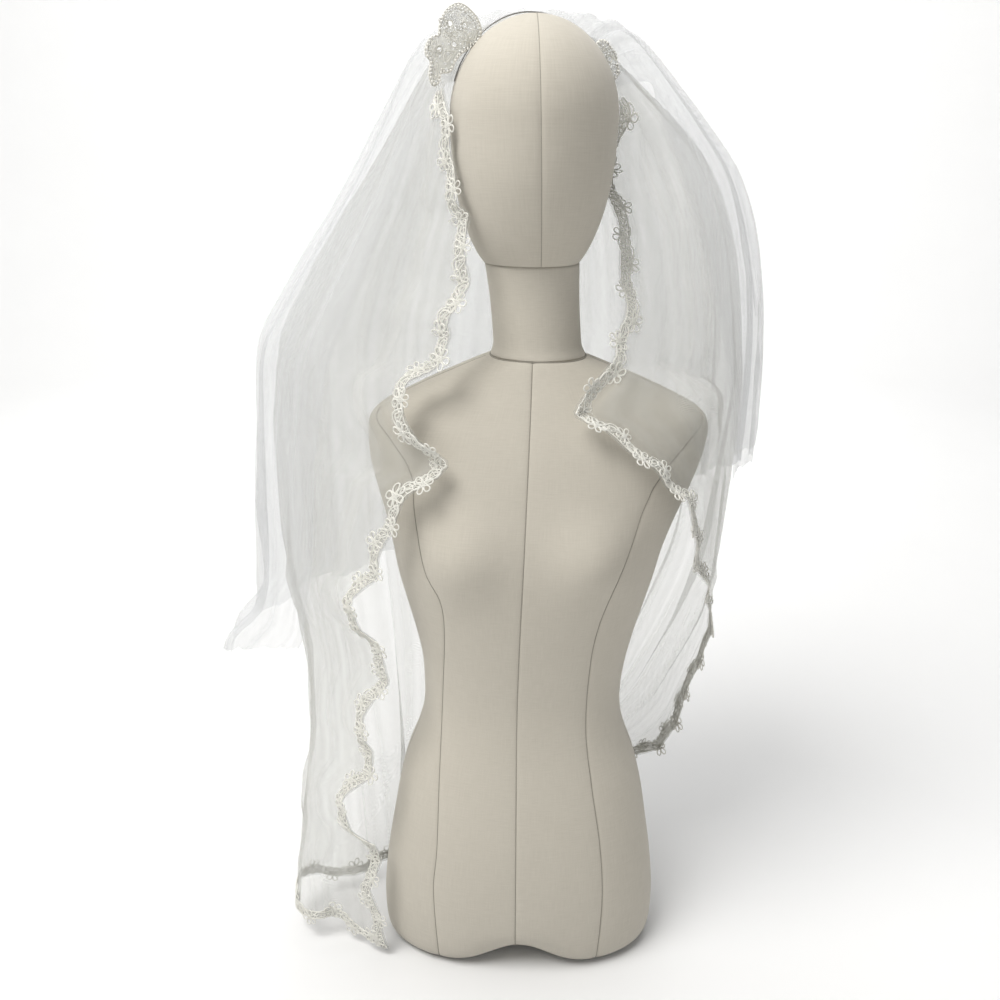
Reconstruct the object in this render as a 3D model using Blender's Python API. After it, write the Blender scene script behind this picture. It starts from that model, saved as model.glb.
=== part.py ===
"""Bridal veil of two tulle tiers on a wire headband, worn by a limbless linen dress form.

The form stands on its flat bottom at z = 0 and faces -Y; +X is the viewer's right and +Z is up.
Every tulle tier is a closed wall run through plan sections of the draped cloth.  The corded lace
edging is laid on the long tier from that tier's own points, moved out by a small gap.
Tables are in millimetres and the model is built in metres.
"""

import math
from collections import namedtuple

import bmesh
import bpy
from mathutils import Vector

MM = 0.001

# ---------------------------------------------------------------- driving sizes, in millimetres
SEAM_GAP = 0.3          # clearance between neighbouring pieces
WALL = 1.2              # tulle tier, with the body that its gathers give it
EDGING = 1.3            # thickness of the corded lace edging
EDGING_ROOM = 20.0      # width of the strip of tulle along an edge that carries the edging
EDGING_REPEAT = 60.0    # a flower on each side, with a leaf scroll after each
EDGING_STEPS = 6        # outline points in one repeat
EDGING_OUTER = 2.4      # its scalloped sides wave about these distances from the tulle's edge
EDGING_INNER = 12.4
EDGING_OUTER_WAVE = 2.4
EDGING_INNER_WAVE = 4.2
EDGING_INNER_LAG = 0.4  # in radians, how far the inner side's wave runs ahead of the outer one
BODY_CLEAR = 6.0        # from a tier to the torso and the neck
HEAD_CLEAR = 2.6        # from a tier to the head

HEAD_HALF = 80.0        # half width of the head at its widest
HEAD_FRONT = 95.0
HEAD_BACK = 100.0
HEAD_MID = 930.0        # height of the widest ring
HEAD_RISE = 90.0        # from there to the crown
FORM_SIDES = 36         # points round a ring of the form
SQUARENESS = 2.35       # power of the torso's rounded sections

BAND_WIRE = 0.9         # radius of the headband's wire
BAND_TURN = math.radians(20)    # the band's plane, turned so that its right end lies further back
BAND_SHIFT = 10.0       # the band's plane stands this far behind the middle of the head
BAND_WIDER = 1.015      # its half width, as a share of the head's
BAND_LEFT = math.radians(-74)   # ends of the band, from the crown down
BAND_RIGHT = math.radians(70)
BAND_ALONG = Vector((math.cos(BAND_TURN), math.sin(BAND_TURN), 0))
BAND_BACKWARD = Vector((-math.sin(BAND_TURN), math.cos(BAND_TURN), 0))

# ---------------------------------------------------------------- tables, in millimetres
Ring = namedtuple("Ring", "z half front back lean")

TORSO = [
    Ring(0, 147, 80, 96, 0),
    Ring(5, 156, 90, 107, 0),
    Ring(18, 161, 98, 115, 0),
    Ring(60, 162, 102, 120, 0),
    Ring(110, 157, 103, 122, 0),
    Ring(160, 149, 100, 118, 0),
    Ring(205, 141, 94, 110, 0),
    Ring(240, 132, 88, 100, 0),
    Ring(275, 119, 82, 90, 0),
    Ring(305, 112, 79, 85, 0),
    Ring(335, 111, 79, 84, 0),
    Ring(370, 114, 83, 87, 1),
    Ring(405, 121, 89, 93, 1),
    Ring(440, 130, 95, 99, 1),
    Ring(475, 139, 99, 104, 1),
    Ring(505, 145, 100, 107, 2),
    Ring(535, 153, 98, 108, 4),
    Ring(565, 163, 93, 107, 6),
    Ring(595, 172, 87, 103, 8),
    Ring(620, 176, 80, 96, 10),
    Ring(640, 175, 73, 88, 11),
    Ring(652, 165, 68, 82, 12),
    Ring(664, 143, 63, 76, 12),
    Ring(678, 114, 57, 69, 11),
    Ring(690, 86, 52, 61, 10),
    Ring(700, 62, 48, 53, 9),
    Ring(705, 49, 45, 47, 9),
]
NECK = [
    Ring(705, 45, 43, 43, 9),
    Ring(730, 44.5, 43, 43, 7),
    Ring(765, 45, 44, 44, 4),
    Ring(797, 47, 48, 46, 1),
]
HEAD_LOW = [
    Ring(797, 47, 50, 48, 0),
    Ring(806, 53.5, 57, 57, 0),
    Ring(822, 61.5, 67, 69, 0),
    Ring(845, 69.5, 78, 82, 0),
    Ring(872, 75.5, 88, 93, 0),
    Ring(900, 79, 93.5, 98.5, 0),
]
HEAD_TOP_ANGLES = (90, 76, 62, 49, 37, 26, 15, 6)   # degrees down from the crown

BUST = namedtuple("Bust", "x z wide high rise")(70, 512, 40, 44, 17)
# Arch between the thigh lobes: it starts and is full this far in front of the middle
CLEFT = namedtuple("Cleft", "wide high rise start full")(48, 62, 21, 50, 90)

# Plan sections of a tier: where the cloth passes at its left side, its back left, its back, its
# back right and its right side.  The two front edges have tables of their own.
Plan = namedtuple("Plan", "z side_l back_l back back_r side_r")

LONG_PLANS = [
    Plan(960, (-112, 28), (-94, 82), (0, 118), (84, 92), (112, 52)),
    Plan(900, (-146, 34), (-122, 110), (0, 146), (122, 114), (168, 48)),
    Plan(840, (-184, 40), (-150, 128), (0, 164), (150, 130), (198, 46)),
    Plan(780, (-220, 44), (-180, 142), (0, 178), (168, 142), (213, 44)),
    Plan(700, (-262, 44), (-208, 154), (0, 190), (180, 150), (222, 40)),
    Plan(620, (-272, 40), (-216, 160), (-4, 198), (183, 154), (224, 36)),
    Plan(540, (-274, 34), (-216, 160), (-8, 204), (180, 156), (220, 34)),
    Plan(460, (-270, 28), (-212, 156), (-12, 208), (172, 156), (214, 36)),
    Plan(385, (-256, 22), (-204, 142), (-18, 212), (150, 160), (206, 62)),
    Plan(300, (-248, 14), (-192, 122), (-26, 215), (122, 172), (184, 98)),
    Plan(225, (-253, 8), (-182, 104), (-40, 215), (92, 186), (158, 128)),
    Plan(160, (-262, 2), (-174, 90), (-62, 208), (54, 200), (114, 160)),
    Plan(100, (-270, -3), (-169, 80), (-88, 190), (10, 210), (56, 200)),
    Plan(50, (-276, -6), (-166, 76), (-106, 174), (-32, 210), (4, 212)),
    Plan(12, (-279, -8), (-165, 74), (-116, 164), (-62, 204), (-38, 214)),
]
PLAIN_PLANS = [
    Plan(975, (-122, 40), (-98, 84), (0, 112), (100, 88), (134, 50)),
    Plan(927, (-151, 46), (-132, 116), (0, 146), (138, 122), (174, 54)),
    Plan(884, (-175, 50), (-154, 136), (0, 166), (164, 140), (207, 56)),
    Plan(841, (-202, 52), (-172, 148), (0, 180), (178, 150), (226, 56)),
    Plan(795, (-233, 54), (-196, 158), (0, 192), (190, 160), (238, 56)),
    Plan(746, (-264, 54), (-218, 168), (0, 204), (198, 168), (245, 54)),
    Plan(700, (-290, 54), (-234, 176), (0, 213), (204, 174), (248, 52)),
    Plan(620, (-298, 52), (-240, 184), (-3, 222), (206, 180), (249, 52)),
    Plan(540, (-301, 50), (-242, 188), (-6, 229), (205, 182), (246, 50)),
    Plan(450, (-302, 48), (-240, 190), (-9, 235), (202, 184), (242, 50)),
    Plan(405, (-308, 46), (-242, 192), (-10, 238), (202, 186), (242, 50)),
    Plan(370, (-340, 44), (-250, 194), (-10, 240), (202, 186), (242, 50)),
    Plan(335, (-352, 42), (-256, 196), (-10, 242), (202, 186), (242, 50)),
]

# Crest of the cloth just behind the headband, from its left end to its right end
Crest = namedtuple("Crest", "x y z")
LONG_CREST = [
    Crest(-84, -18, 955), Crest(-97, 20, 979), Crest(-60, 50, 1004), Crest(0, 58, 1015),
    Crest(50, 66, 1007), Crest(78, 60, 986), Crest(83, 47, 948),
]
PLAIN_CREST = [
    Crest(-98, -12, 962), Crest(-112, 34, 994), Crest(-64, 60, 1017), Crest(0, 68, 1021),
    Crest(60, 76, 1023), Crest(100, 66, 1008), Crest(112, 44, 966),
]

# Front edges, a row for each turn of their cascading folds
Turn = namedtuple("Turn", "z x y")
LONG_LEFT_EDGE = [
    Turn(955, -84, -20), Turn(931, -78, -41), Turn(903, -76, -44), Turn(883, -70, -48),
    Turn(855, -73, -50), Turn(846, -57, -52), Turn(812, -64, -56), Turn(783, -56, -62),
    Turn(748, -79, -68), Turn(736, -74, -69), Turn(708, -86, -72), Turn(698, -93, -73),
    Turn(691, -117, -74), Turn(674, -123, -77), Turn(656, -119, -82), Turn(637, -107, -88),
    Turn(617, -74, -94), Turn(599, -88, -96), Turn(592, -104, -96), Turn(580, -120, -95),
    Turn(547, -132, -92), Turn(514, -148, -84), Turn(486, -151, -80), Turn(474, -166, -76),
    Turn(457, -183, -74), Turn(443, -176, -74), Turn(424, -170, -73), Turn(417, -156, -72),
    Turn(397, -149, -72), Turn(362, -142, -70), Turn(345, -157, -68), Turn(317, -173, -66),
    Turn(290, -174, -66), Turn(277, -162, -67), Turn(242, -166, -68), Turn(222, -192, -68),
    Turn(211, -201, -68), Turn(170, -190, -68), Turn(154, -163, -70), Turn(136, -156, -72),
    Turn(96, -172, -72), Turn(60, -160, -74), Turn(33, -158, -74), Turn(12, -152, -74),
]
LONG_RIGHT_EDGE = [
    Turn(956, 84, 47), Turn(931, 83, 49), Turn(903, 73, 63), Turn(881, 69, 61),
    Turn(866, 72, 46), Turn(853, 77, 24), Turn(829, 87, 10),
    Turn(786, 86, -8), Turn(766, 93, -18), Turn(750, 91, -30), Turn(733, 83, -42),
    Turn(713, 80, -58), Turn(696, 63, -72), Turn(671, 41, -86), Turn(660, 40, -88),
    Turn(649, 72, -92), Turn(630, 91, -94), Turn(612, 120, -92), Turn(588, 135, -86),
    Turn(577, 156, -77), Turn(536, 169, -58), Turn(514, 175, -48), Turn(494, 176, -38),
    Turn(475, 184, -28), Turn(457, 199, -20), Turn(436, 198, -10), Turn(413, 209, 0),
    Turn(384, 213, 10), Turn(360, 209, 20), Turn(331, 206, 30), Turn(295, 197, 42),
    Turn(264, 196, 52), Turn(236, 193, 62), Turn(212, 187, 72), Turn(185, 178, 84),
    Turn(163, 158, 104), Turn(136, 126, 142), Turn(100, 90, 178), Turn(60, 42, 204),
    Turn(33, 8, 214), Turn(12, -12, 218),
]
PLAIN_LEFT_EDGE = [
    Turn(962, -99, -12), Turn(900, -116, -24), Turn(840, -140, -34), Turn(780, -165, -44),
    Turn(700, -198, -54), Turn(600, -214, -60), Turn(500, -220, -60), Turn(400, -238, -52),
    Turn(360, -262, -40),
]
PLAIN_RIGHT_EDGE = [
    Turn(966, 112, 44), Turn(900, 138, 12), Turn(840, 158, -8), Turn(780, 176, -22),
    Turn(700, 196, -34), Turn(620, 208, -38), Turn(560, 212, -36),
]
# How low the plain tier's raw hem hangs, from its left front edge to its right front edge
PLAIN_HEM = (392, 342, 372, 430, 512, 598, 586)

# Rows of each wall below its crest: one at each turn of a front edge that shows as a fold
LONG_ROWS = (
    955, 931, 903, 883, 855, 846, 812, 783, 748, 708, 691, 674, 637, 617, 599, 580, 547, 514,
    486, 457, 424, 397, 362, 317, 290, 277, 242, 211, 170, 154, 136, 96, 60, 33, 12,
)
PLAIN_TOP = 975
PLAIN_ROW_COUNT = 13
LONG_LIFT = 1.2         # each tier's gathers above the head
PLAIN_LIFT = 3.6
LONG_COLUMNS = 44
PLAIN_COLUMNS = 40
ROW_SAMPLES = 60        # places at which a row's length is measured
EDGING_MOST = 0.12      # most of a short row that an edging's strip takes

# Folds of a tier: how many, how high at the gathers and at the hem, and the most for their width;
# two slow waves round the tier thin them and move them sideways, so that no two are alike.
Folds = namedtuple("Folds", "count top bottom slope thin thin_waves aside aside_waves")
FOLDS = Folds(
    count=11, top=2.0, bottom=13.0, slope=0.14, thin=0.5, thin_waves=3.4, aside=0.018, aside_waves=2.3
)
FOLD_DEEPENING = 0.8    # power by which the folds deepen on the way down
CALM_LEFT = 0.12        # share of a row over which the folds die away towards each front edge
CALM_RIGHT = 0.16
CALM_LEAST = 0.2
# How far the long tier's hem is caught up near its left end, and the heights over which that fades
Lift = namedtuple("Lift", "across rise")
HEM_LIFTS = [
    Lift(0, 0), Lift(0.04, 5), Lift(0.075, 18), Lift(0.11, 16), Lift(0.15, 25), Lift(0.19, 27),
    Lift(0.25, 14), Lift(0.33, 4), Lift(0.42, 0), Lift(1, 0),
]
LIFT_LOW, LIFT_HIGH = 30, 110

# Standing lace of the headpiece, in the band's own plane: out from the middle, and height
Spot = namedtuple("Spot", "out z")
MOTIF_LEFT = [
    Spot(-76, 1025), Spot(-84, 1022), Spot(-90, 1016), Spot(-94, 1007), Spot(-95, 999),
    Spot(-102, 996), Spot(-107, 988), Spot(-107, 981), Spot(-103, 976), Spot(-104, 964),
    Spot(-101, 956), Spot(-96, 957), Spot(-93, 966), Spot(-84, 968), Spot(-79, 977),
    Spot(-72, 984.5), Spot(-64, 989.2), Spot(-57, 995.4), Spot(-54, 1003), Spot(-57, 1012),
    Spot(-62, 1018), Spot(-69, 1023),
]
MOTIF_LEFT_EYES = [Spot(-84, 1008), Spot(-70, 1007), Spot(-94, 986), Spot(-80, 991)]
MOTIF_RIGHT = [
    Spot(60, 990), Spot(66, 982), Spot(71, 973), Spot(75, 964), Spot(80, 964), Spot(86, 974),
    Spot(84, 982), Spot(82, 990), Spot(76, 996), Spot(70, 1001), Spot(63, 1000),
]
MOTIF_RIGHT_EYES = [Spot(76, 985)]
MOTIF_THICK = 2.0
MOTIF_LEFT_SHIFT = 5.5  # the band at each motif stands this far behind the middle of the head
MOTIF_RIGHT_SHIFT = 6.4
EYE_RADIUS = 2.4
EYE_SIDES = 6


# ---------------------------------------------------------------- interpolation
def cubic(knots, values, at):
    """Value at `at` of a smooth curve through (knots, values); knots rise and values may be tuples."""
    if at <= knots[0]:
        return values[0]
    if at >= knots[-1]:
        return values[-1]
    i = max(k for k in range(len(knots) - 1) if knots[k] <= at)
    span = knots[i + 1] - knots[i]
    f = (at - knots[i]) / span

    def slope(k, axis):
        low, high = max(k - 1, 0), min(k + 1, len(knots) - 1)
        return (values[high][axis] - values[low][axis]) / (knots[high] - knots[low]) * span

    def along(axis):
        a, b = values[i][axis], values[i + 1][axis]
        return (
            (2 * f**3 - 3 * f**2 + 1) * a + (f**3 - 2 * f**2 + f) * slope(i, axis)
            + (3 * f**2 - 2 * f**3) * b + (f**3 - f**2) * slope(i + 1, axis)
        )

    return tuple(along(axis) for axis in range(len(values[0])))


def linear(knots, values, at):
    """Straight interpolation of numbers; knots rise."""
    if at <= knots[0]:
        return values[0]
    for k in range(len(knots) - 1):
        if at <= knots[k + 1]:
            f = (at - knots[k]) / (knots[k + 1] - knots[k])
            return values[k] + f * (values[k + 1] - values[k])
    return values[-1]


def table_at(rows, z):
    """All columns of a table at height z, smoothed between its rows."""
    rising = sorted(rows, key=lambda row: row.z)
    knots = [row.z for row in rising]
    return type(rows[0])(z, *cubic(knots, [tuple(row)[1:] for row in rising], z))


def edge_at(turns, z):
    """Plan position of a front edge at height z, straight between its turns."""
    rising = sorted(turns, key=lambda turn: turn.z)
    knots = [turn.z for turn in rising]
    return linear(knots, [turn.x for turn in rising], z), linear(knots, [turn.y for turn in rising], z)


def smoothstep(low, high, at):
    f = min(max((at - low) / (high - low), 0.0), 1.0)
    return f * f * (3 - 2 * f)


# ---------------------------------------------------------------- meshes and materials
def solid(name, points, faces, material, smooth=True):
    """One closed body from points in millimetres and faces that point out."""
    mesh = bpy.data.meshes.new(name)
    mesh.from_pydata([Vector(p) * MM for p in points], [], faces)
    mesh.validate()
    if smooth:
        mesh.shade_smooth()
        mesh.set_sharp_from_angle(angle=math.radians(50))
    mesh.materials.append(material)
    built = bpy.data.objects.new(name, mesh)
    bpy.context.scene.collection.objects.link(built)
    return built


def finish(name, colour, roughness, metallic=0.0):
    material = bpy.data.materials.new(name)
    material.use_nodes = True
    shader = material.node_tree.nodes["Principled BSDF"]
    shader.inputs["Base Color"].default_value = (*colour, 1.0)
    shader.inputs["Roughness"].default_value = roughness
    shader.inputs["Metallic"].default_value = metallic
    return material


def loft(rings, close_low, close_high):
    """Faces between equal rings of points, listed from the lowest up, anticlockwise from above."""
    points = [p for ring in rings for p in ring]
    count = len(rings[0])
    faces = []
    for level in range(len(rings) - 1):
        for k in range(count):
            a = level * count + k
            b = level * count + (k + 1) % count
            faces.append((a, b, b + count, a + count))
    if close_low is not None:
        points.append(close_low)
        low = len(points) - 1
        faces += [(low, (k + 1) % count, k) for k in range(count)]
    if close_high is not None:
        points.append(close_high)
        high = len(points) - 1
        top = (len(rings) - 1) * count
        faces += [(high, top + k, top + (k + 1) % count) for k in range(count)]
    return points, faces


# ---------------------------------------------------------------- dress form
def rounded(ring, angle, power):
    """Point of a ring's rounded section; angle 0 is +X and angles run anticlockwise from above."""
    c, s = math.cos(angle), math.sin(angle)
    depth = ring.back if s > 0 else ring.front
    reach = (abs(c / ring.half) ** power + abs(s / depth) ** power) ** (-1 / power)
    return ring.lean + reach * c, reach * s


def bust_rise(x, y, z):
    """How far the bust stands forward of the plain section."""
    if y > 0:
        return 0.0
    rise = sum(
        math.exp(-(((x - side * BUST.x) / BUST.wide) ** 2) - ((z - BUST.z) / BUST.high) ** 2)
        for side in (-1, 1)
    )
    return BUST.rise * rise * smoothstep(0, 60, -y)


def torso_ring(ring, scale=1.0):
    """A ring of the torso, with the bust and the arch between the thigh lobes."""
    points = []
    for k in range(FORM_SIDES):
        x, y = rounded(ring, 2 * math.pi * k / FORM_SIDES, SQUARENESS)
        x, y = x * scale, y * scale
        arch = math.exp(-((x / CLEFT.wide) ** 2)) * smoothstep(CLEFT.start, CLEFT.full, -y)
        lift = CLEFT.rise * arch * (1 - smoothstep(0, CLEFT.high, ring.z))
        y += 0.5 * lift
        points.append((x, y - bust_rise(x, y, ring.z), ring.z + lift))
    return points


def form_torso(linen):
    rings = [torso_ring(TORSO[0], scale) for scale in (0.45, 0.86)]
    rings += [torso_ring(ring) for ring in TORSO]
    points, faces = loft(rings, (0, 0, 0), (TORSO[-1].lean, 0, TORSO[-1].z))
    return solid("form_torso", points, faces, linen)


def plain_rings(rows, power=2.0, low=0.0, high=0.0):
    """Rings through a table's rows, the first moved up by `low` and the last down by `high`."""
    rings = []
    for i, ring in enumerate(rows):
        z = ring.z + (low if i == 0 else 0) - (high if i == len(rows) - 1 else 0)
        turns = [2 * math.pi * k / FORM_SIDES for k in range(FORM_SIDES)]
        rings.append([(*rounded(ring, turn, power), z) for turn in turns])
    return rings


def form_neck(linen):
    rings = plain_rings(NECK, low=SEAM_GAP, high=SEAM_GAP)
    low = (NECK[0].lean, 0, rings[0][0][2])
    high = (NECK[-1].lean, 0, rings[-1][0][2])
    return solid("form_neck", *loft(rings, low, high), linen)


def form_head(linen):
    rows = list(HEAD_LOW)
    for degrees in HEAD_TOP_ANGLES:
        s, c = math.sin(math.radians(degrees)), math.cos(math.radians(degrees))
        rows.append(Ring(HEAD_MID + HEAD_RISE * c, HEAD_HALF * s, HEAD_FRONT * s, HEAD_BACK * s, 0))
    rings = plain_rings(rows)
    points, faces = loft(rings, (0, 0, rows[0].z), (0, 0, HEAD_MID + HEAD_RISE))
    return solid("form_head", points, faces, linen)


def off_head(point, clear):
    """The point, moved straight out from the middle of the head where it is too near its top."""
    x, y, z = point
    up = z - HEAD_MID
    if up <= 0:
        return point
    depth = HEAD_BACK if y > 0 else HEAD_FRONT
    near = math.sqrt((x / HEAD_HALF) ** 2 + (y / depth) ** 2 + (up / HEAD_RISE) ** 2)
    least = 1 + clear / HEAD_HALF
    if near >= least:
        return point
    push = least / near
    return x * push, y * push, HEAD_MID + up * push


def off_body(point, clear):
    """The point, moved out level where it is too near the torso, the neck or the head's lower half."""
    x, y, z = point
    for rows, power in ((TORSO, SQUARENESS), (NECK, 2.0), (HEAD_LOW, 2.0)):
        highest = HEAD_MID if rows is HEAD_LOW else rows[-1].z
        for below in (0.0, 12.0, 24.0):
            level = z - below
            if not rows[0].z - 30 <= level <= highest:
                continue
            ring = table_at(rows, min(max(level, rows[0].z), rows[-1].z))
            dx, dy = x - ring.lean, y
            depth = ring.back if dy > 0 else ring.front + bust_rise(x, y, level)
            reach = (abs(dx / ring.half) ** power + abs(dy / depth) ** power) ** (1 / power)
            least = 1 + clear / min(ring.half, depth)
            if reach < least:
                x = ring.lean + dx * least / max(reach, 0.2)
                y = dy * least / max(reach, 0.2)
    return x, y, z


# ---------------------------------------------------------------- headband
def band_point(angle, out):
    """Point of the band's arc over the head, `angle` from the crown, `out` above the head."""
    along = BAND_ALONG * (HEAD_HALF * BAND_WIDER + out) * math.sin(angle)
    x, y = along.x, along.y + BAND_SHIFT * math.sqrt(math.cos(angle))
    depth = HEAD_BACK if y > 0 else HEAD_FRONT
    plan = (x / (HEAD_HALF + out)) ** 2 + (y / (depth + out)) ** 2
    return Vector((x, y, HEAD_MID + (HEAD_RISE + out) * math.sqrt(max(1 - plan, 0.0))))


def tube(name, centres, radius, sides, material):
    """A closed round wire through the given centres."""
    rings = []
    for i, centre in enumerate(centres):
        ahead = centres[min(i + 1, len(centres) - 1)] - centres[max(i - 1, 0)]
        across = ahead.cross(Vector((0, 1, 0))).normalized()
        over = across.cross(ahead).normalized()
        turns = [-2 * math.pi * k / sides for k in range(sides)]
        rings.append([centre + (across * math.cos(a) + over * math.sin(a)) * radius for a in turns])
    return solid(name, *loft(rings, centres[0], centres[-1]), material)


def headband(metal):
    stations = 26
    angles = [BAND_LEFT + (BAND_RIGHT - BAND_LEFT) * k / stations for k in range(stations + 1)]
    centres = [band_point(angle, BAND_WIRE + SEAM_GAP) for angle in angles]
    return tube("headband", centres, BAND_WIRE, 6, metal)


def standing_lace(name, outline, eyes, shift, material):
    """A flat lace motif in front of the band, with its eyes cut through."""
    loops = [[(spot.out, spot.z) for spot in outline]]
    for eye in eyes:
        loop = []
        for k in range(EYE_SIDES):
            turn = 2 * math.pi * k / EYE_SIDES
            loop.append((eye.out + EYE_RADIUS * math.cos(turn), eye.z + EYE_RADIUS * math.sin(turn)))
        loops.append(loop)
    forward = BAND_WIRE + SEAM_GAP
    bm = bmesh.new()
    for loop in loops:
        verts = []
        for out, z in loop:
            back = BAND_ALONG * out + Vector((0, shift, z)) - BAND_BACKWARD * forward
            verts.append(bm.verts.new(back * MM))
        for a, b in zip(verts, verts[1:] + verts[:1]):
            bm.edges.new((a, b))
    bmesh.ops.triangle_fill(bm, use_beauty=True, edges=bm.edges[:])
    front = bmesh.ops.extrude_face_region(bm, geom=bm.faces[:])
    moved = [v for v in front["geom"] if isinstance(v, bmesh.types.BMVert)]
    bmesh.ops.translate(bm, verts=moved, vec=-BAND_BACKWARD * MOTIF_THICK * MM)
    bmesh.ops.recalc_face_normals(bm, faces=bm.faces[:])
    mesh = bpy.data.meshes.new(name)
    bm.to_mesh(mesh)
    bm.free()
    mesh.materials.append(material)
    bpy.context.scene.collection.objects.link(bpy.data.objects.new(name, mesh))


# ---------------------------------------------------------------- tulle tiers
ASIDE = 0.02            # step to each side over which a row's local length is measured
KNOTS = (0.0, 0.16, 0.33, 0.5, 0.67, 0.84, 1.0)     # where a section's seven points lie round it


class Tier:
    """The middle surface of one tier: `across` runs 0..1 from its left to its right front edge."""

    def __init__(self, plans, crest, left, right, lift):
        self.plans, self.crest, self.left, self.right, self.lift = plans, crest, left, right, lift

    def gather(self, across):
        """On the headband, where the cloth is gathered."""
        angle = BAND_LEFT + (BAND_RIGHT - BAND_LEFT) * across
        behind = BAND_WIRE + SEAM_GAP + WALL / 2
        return band_point(angle, self.lift) + BAND_BACKWARD * behind

    def crest_point(self, across):
        return Vector(cubic(KNOTS, [tuple(c) for c in self.crest], across))

    def section(self, across, z):
        """On the level section at height z, with the turns of the front edges."""
        rising = sorted(self.plans)
        knots = [plan.z for plan in rising]
        middle = [cubic(knots, [plan[column] for plan in rising], z) for column in range(1, 6)]
        x, y = cubic(KNOTS, [edge_at(self.left, z), *middle, edge_at(self.right, z)], across)
        return Vector((x, y, z))


def fold(across, drop, stretch):
    """Height of the folds, drop 0 at the gathers and 1 at the hem, on a row this long."""
    turn = 2 * math.pi * across
    depth = FOLDS.top + (FOLDS.bottom - FOLDS.top) * drop**FOLD_DEEPENING
    height = min(depth, FOLDS.slope * stretch / FOLDS.count)
    thinner = FOLDS.thin * (0.5 + 0.5 * math.sin(FOLDS.thin_waves * turn + 1.1 + 1.5 * drop))
    ends = smoothstep(0.0, CALM_LEFT, across) * smoothstep(0.0, CALM_RIGHT, 1 - across)
    calm = CALM_LEAST + (1 - CALM_LEAST) * ends
    aside = FOLDS.aside * math.sin(FOLDS.aside_waves * turn + 0.7)
    return height * (1 - thinner) * calm * math.sin(FOLDS.count * (turn + 2 * math.pi * aside))


def columns(row_curve, count):
    """Places across a row: one an edging's width in from each end, the rest evenly between."""
    places = [k / ROW_SAMPLES for k in range(ROW_SAMPLES + 1)]
    points = [row_curve(place) for place in places]
    walk = [0.0]
    for a, b in zip(points, points[1:]):
        walk.append(walk[-1] + (b - a).length)
    room = min(EDGING_ROOM, walk[-1] * EDGING_MOST)
    first = linear(walk, places, room)
    last = linear(walk, places, walk[-1] - room)
    inner = [first + (last - first) * k / (count - 2) for k in range(count - 1)]
    return [0.0, *inner, 1.0]


def tier_grid(tier, rows, count):
    """Rows of points on the tier's middle surface, from the gathers to the hem, with its folds."""
    curves = [tier.gather, tier.crest_point]
    curves += [lambda across, row=row: tier.section(across, row(across)) for row in rows]
    places = [columns(curve, count) for curve in curves]
    plain = [[curve(across) for across in row] for curve, row in zip(curves, places)]
    normals = normals_of(plain)
    grid = [plain[0]]
    for level in range(1, len(plain)):
        drop = level / (len(plain) - 1)
        line = []
        for across, point, out in zip(places[level], plain[level], normals[level]):
            near = [curves[level](min(max(across + step, 0), 1)) for step in (-ASIDE, ASIDE)]
            stretch = (near[1] - near[0]).length / (2 * ASIDE)
            line.append(clear_of_form(point + out * fold(across, drop, stretch)))
        grid.append(line)
    return grid


def clear_of_form(point):
    point = off_head(tuple(point), HEAD_CLEAR)
    return Vector(off_body(point, BODY_CLEAR))


def normals_of(grid):
    """Outward unit normals of a grid whose columns run anticlockwise round the back."""
    normals = []
    for i, line in enumerate(grid):
        above, below = grid[max(i - 1, 0)], grid[min(i + 1, len(grid) - 1)]
        row = []
        for k in range(len(line)):
            round_ = line[min(k + 1, len(line) - 1)] - line[max(k - 1, 0)]
            down = below[k] - above[k]
            row.append(round_.cross(down).normalized())
        normals.append(row)
    return normals


def split_cell(a, b, c, d, points, normal):
    """Two triangles of a cell, split where its fold is a valley seen from outside."""
    rise = (points[a] + points[c] - points[b] - points[d]).dot(normal)
    return [(a, b, c), (a, c, d)] if rise <= 0 else [(a, b, d), (b, c, d)]


def wall(name, grid, thickness, material):
    """A closed wall of even thickness on a grid of points."""
    normals = normals_of(grid)
    rows, count = len(grid), len(grid[0])
    outer = [grid[i][k] + normals[i][k] * thickness / 2 for i in range(rows) for k in range(count)]
    inner = [grid[i][k] - normals[i][k] * thickness / 2 for i in range(rows) for k in range(count)]
    far = rows * count
    faces = []
    for i in range(rows - 1):
        for k in range(count - 1):
            a, b = i * count + k, i * count + k + 1
            halves = split_cell(a, b, b + count, a + count, outer, normals[i][k])
            faces += halves + [(far + z, far + y, far + x) for x, y, z in halves]
    rim = list(range(count))
    rim += [i * count + count - 1 for i in range(1, rows)]
    rim += [(rows - 1) * count + k for k in range(count - 2, -1, -1)]
    rim += [i * count for i in range(rows - 2, 0, -1)]
    for a, b in zip(rim, rim[1:] + rim[:1]):
        faces += [(b, a, far + a), (b, far + a, far + b)]
    return solid(name, outer + inner, faces, material)


# ---------------------------------------------------------------- corded lace edging
def edging_outline(walk):
    """How far in from the tulle's edge the edging starts and ends at a distance along it."""
    phase = walk / EDGING_REPEAT * 2 * math.pi
    outer = EDGING_OUTER - EDGING_OUTER_WAVE * math.cos(phase)
    inner = EDGING_INNER - EDGING_INNER_WAVE * math.cos(phase + EDGING_INNER_LAG)
    return outer, inner


def strip_cells(grid, edge):
    """Cells of the strip along one edge: pairs (edge point, inner point), as row and column."""
    rows, count = len(grid), len(grid[0])
    if edge == "left":
        return [((i, 0), (i, 1)) for i in range(1, rows)]
    if edge == "right":
        return [((i, count - 1), (i, count - 2)) for i in range(1, rows)]
    return [((rows - 1, k), (rows - 2, k)) for k in range(1, count - 1)]


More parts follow.
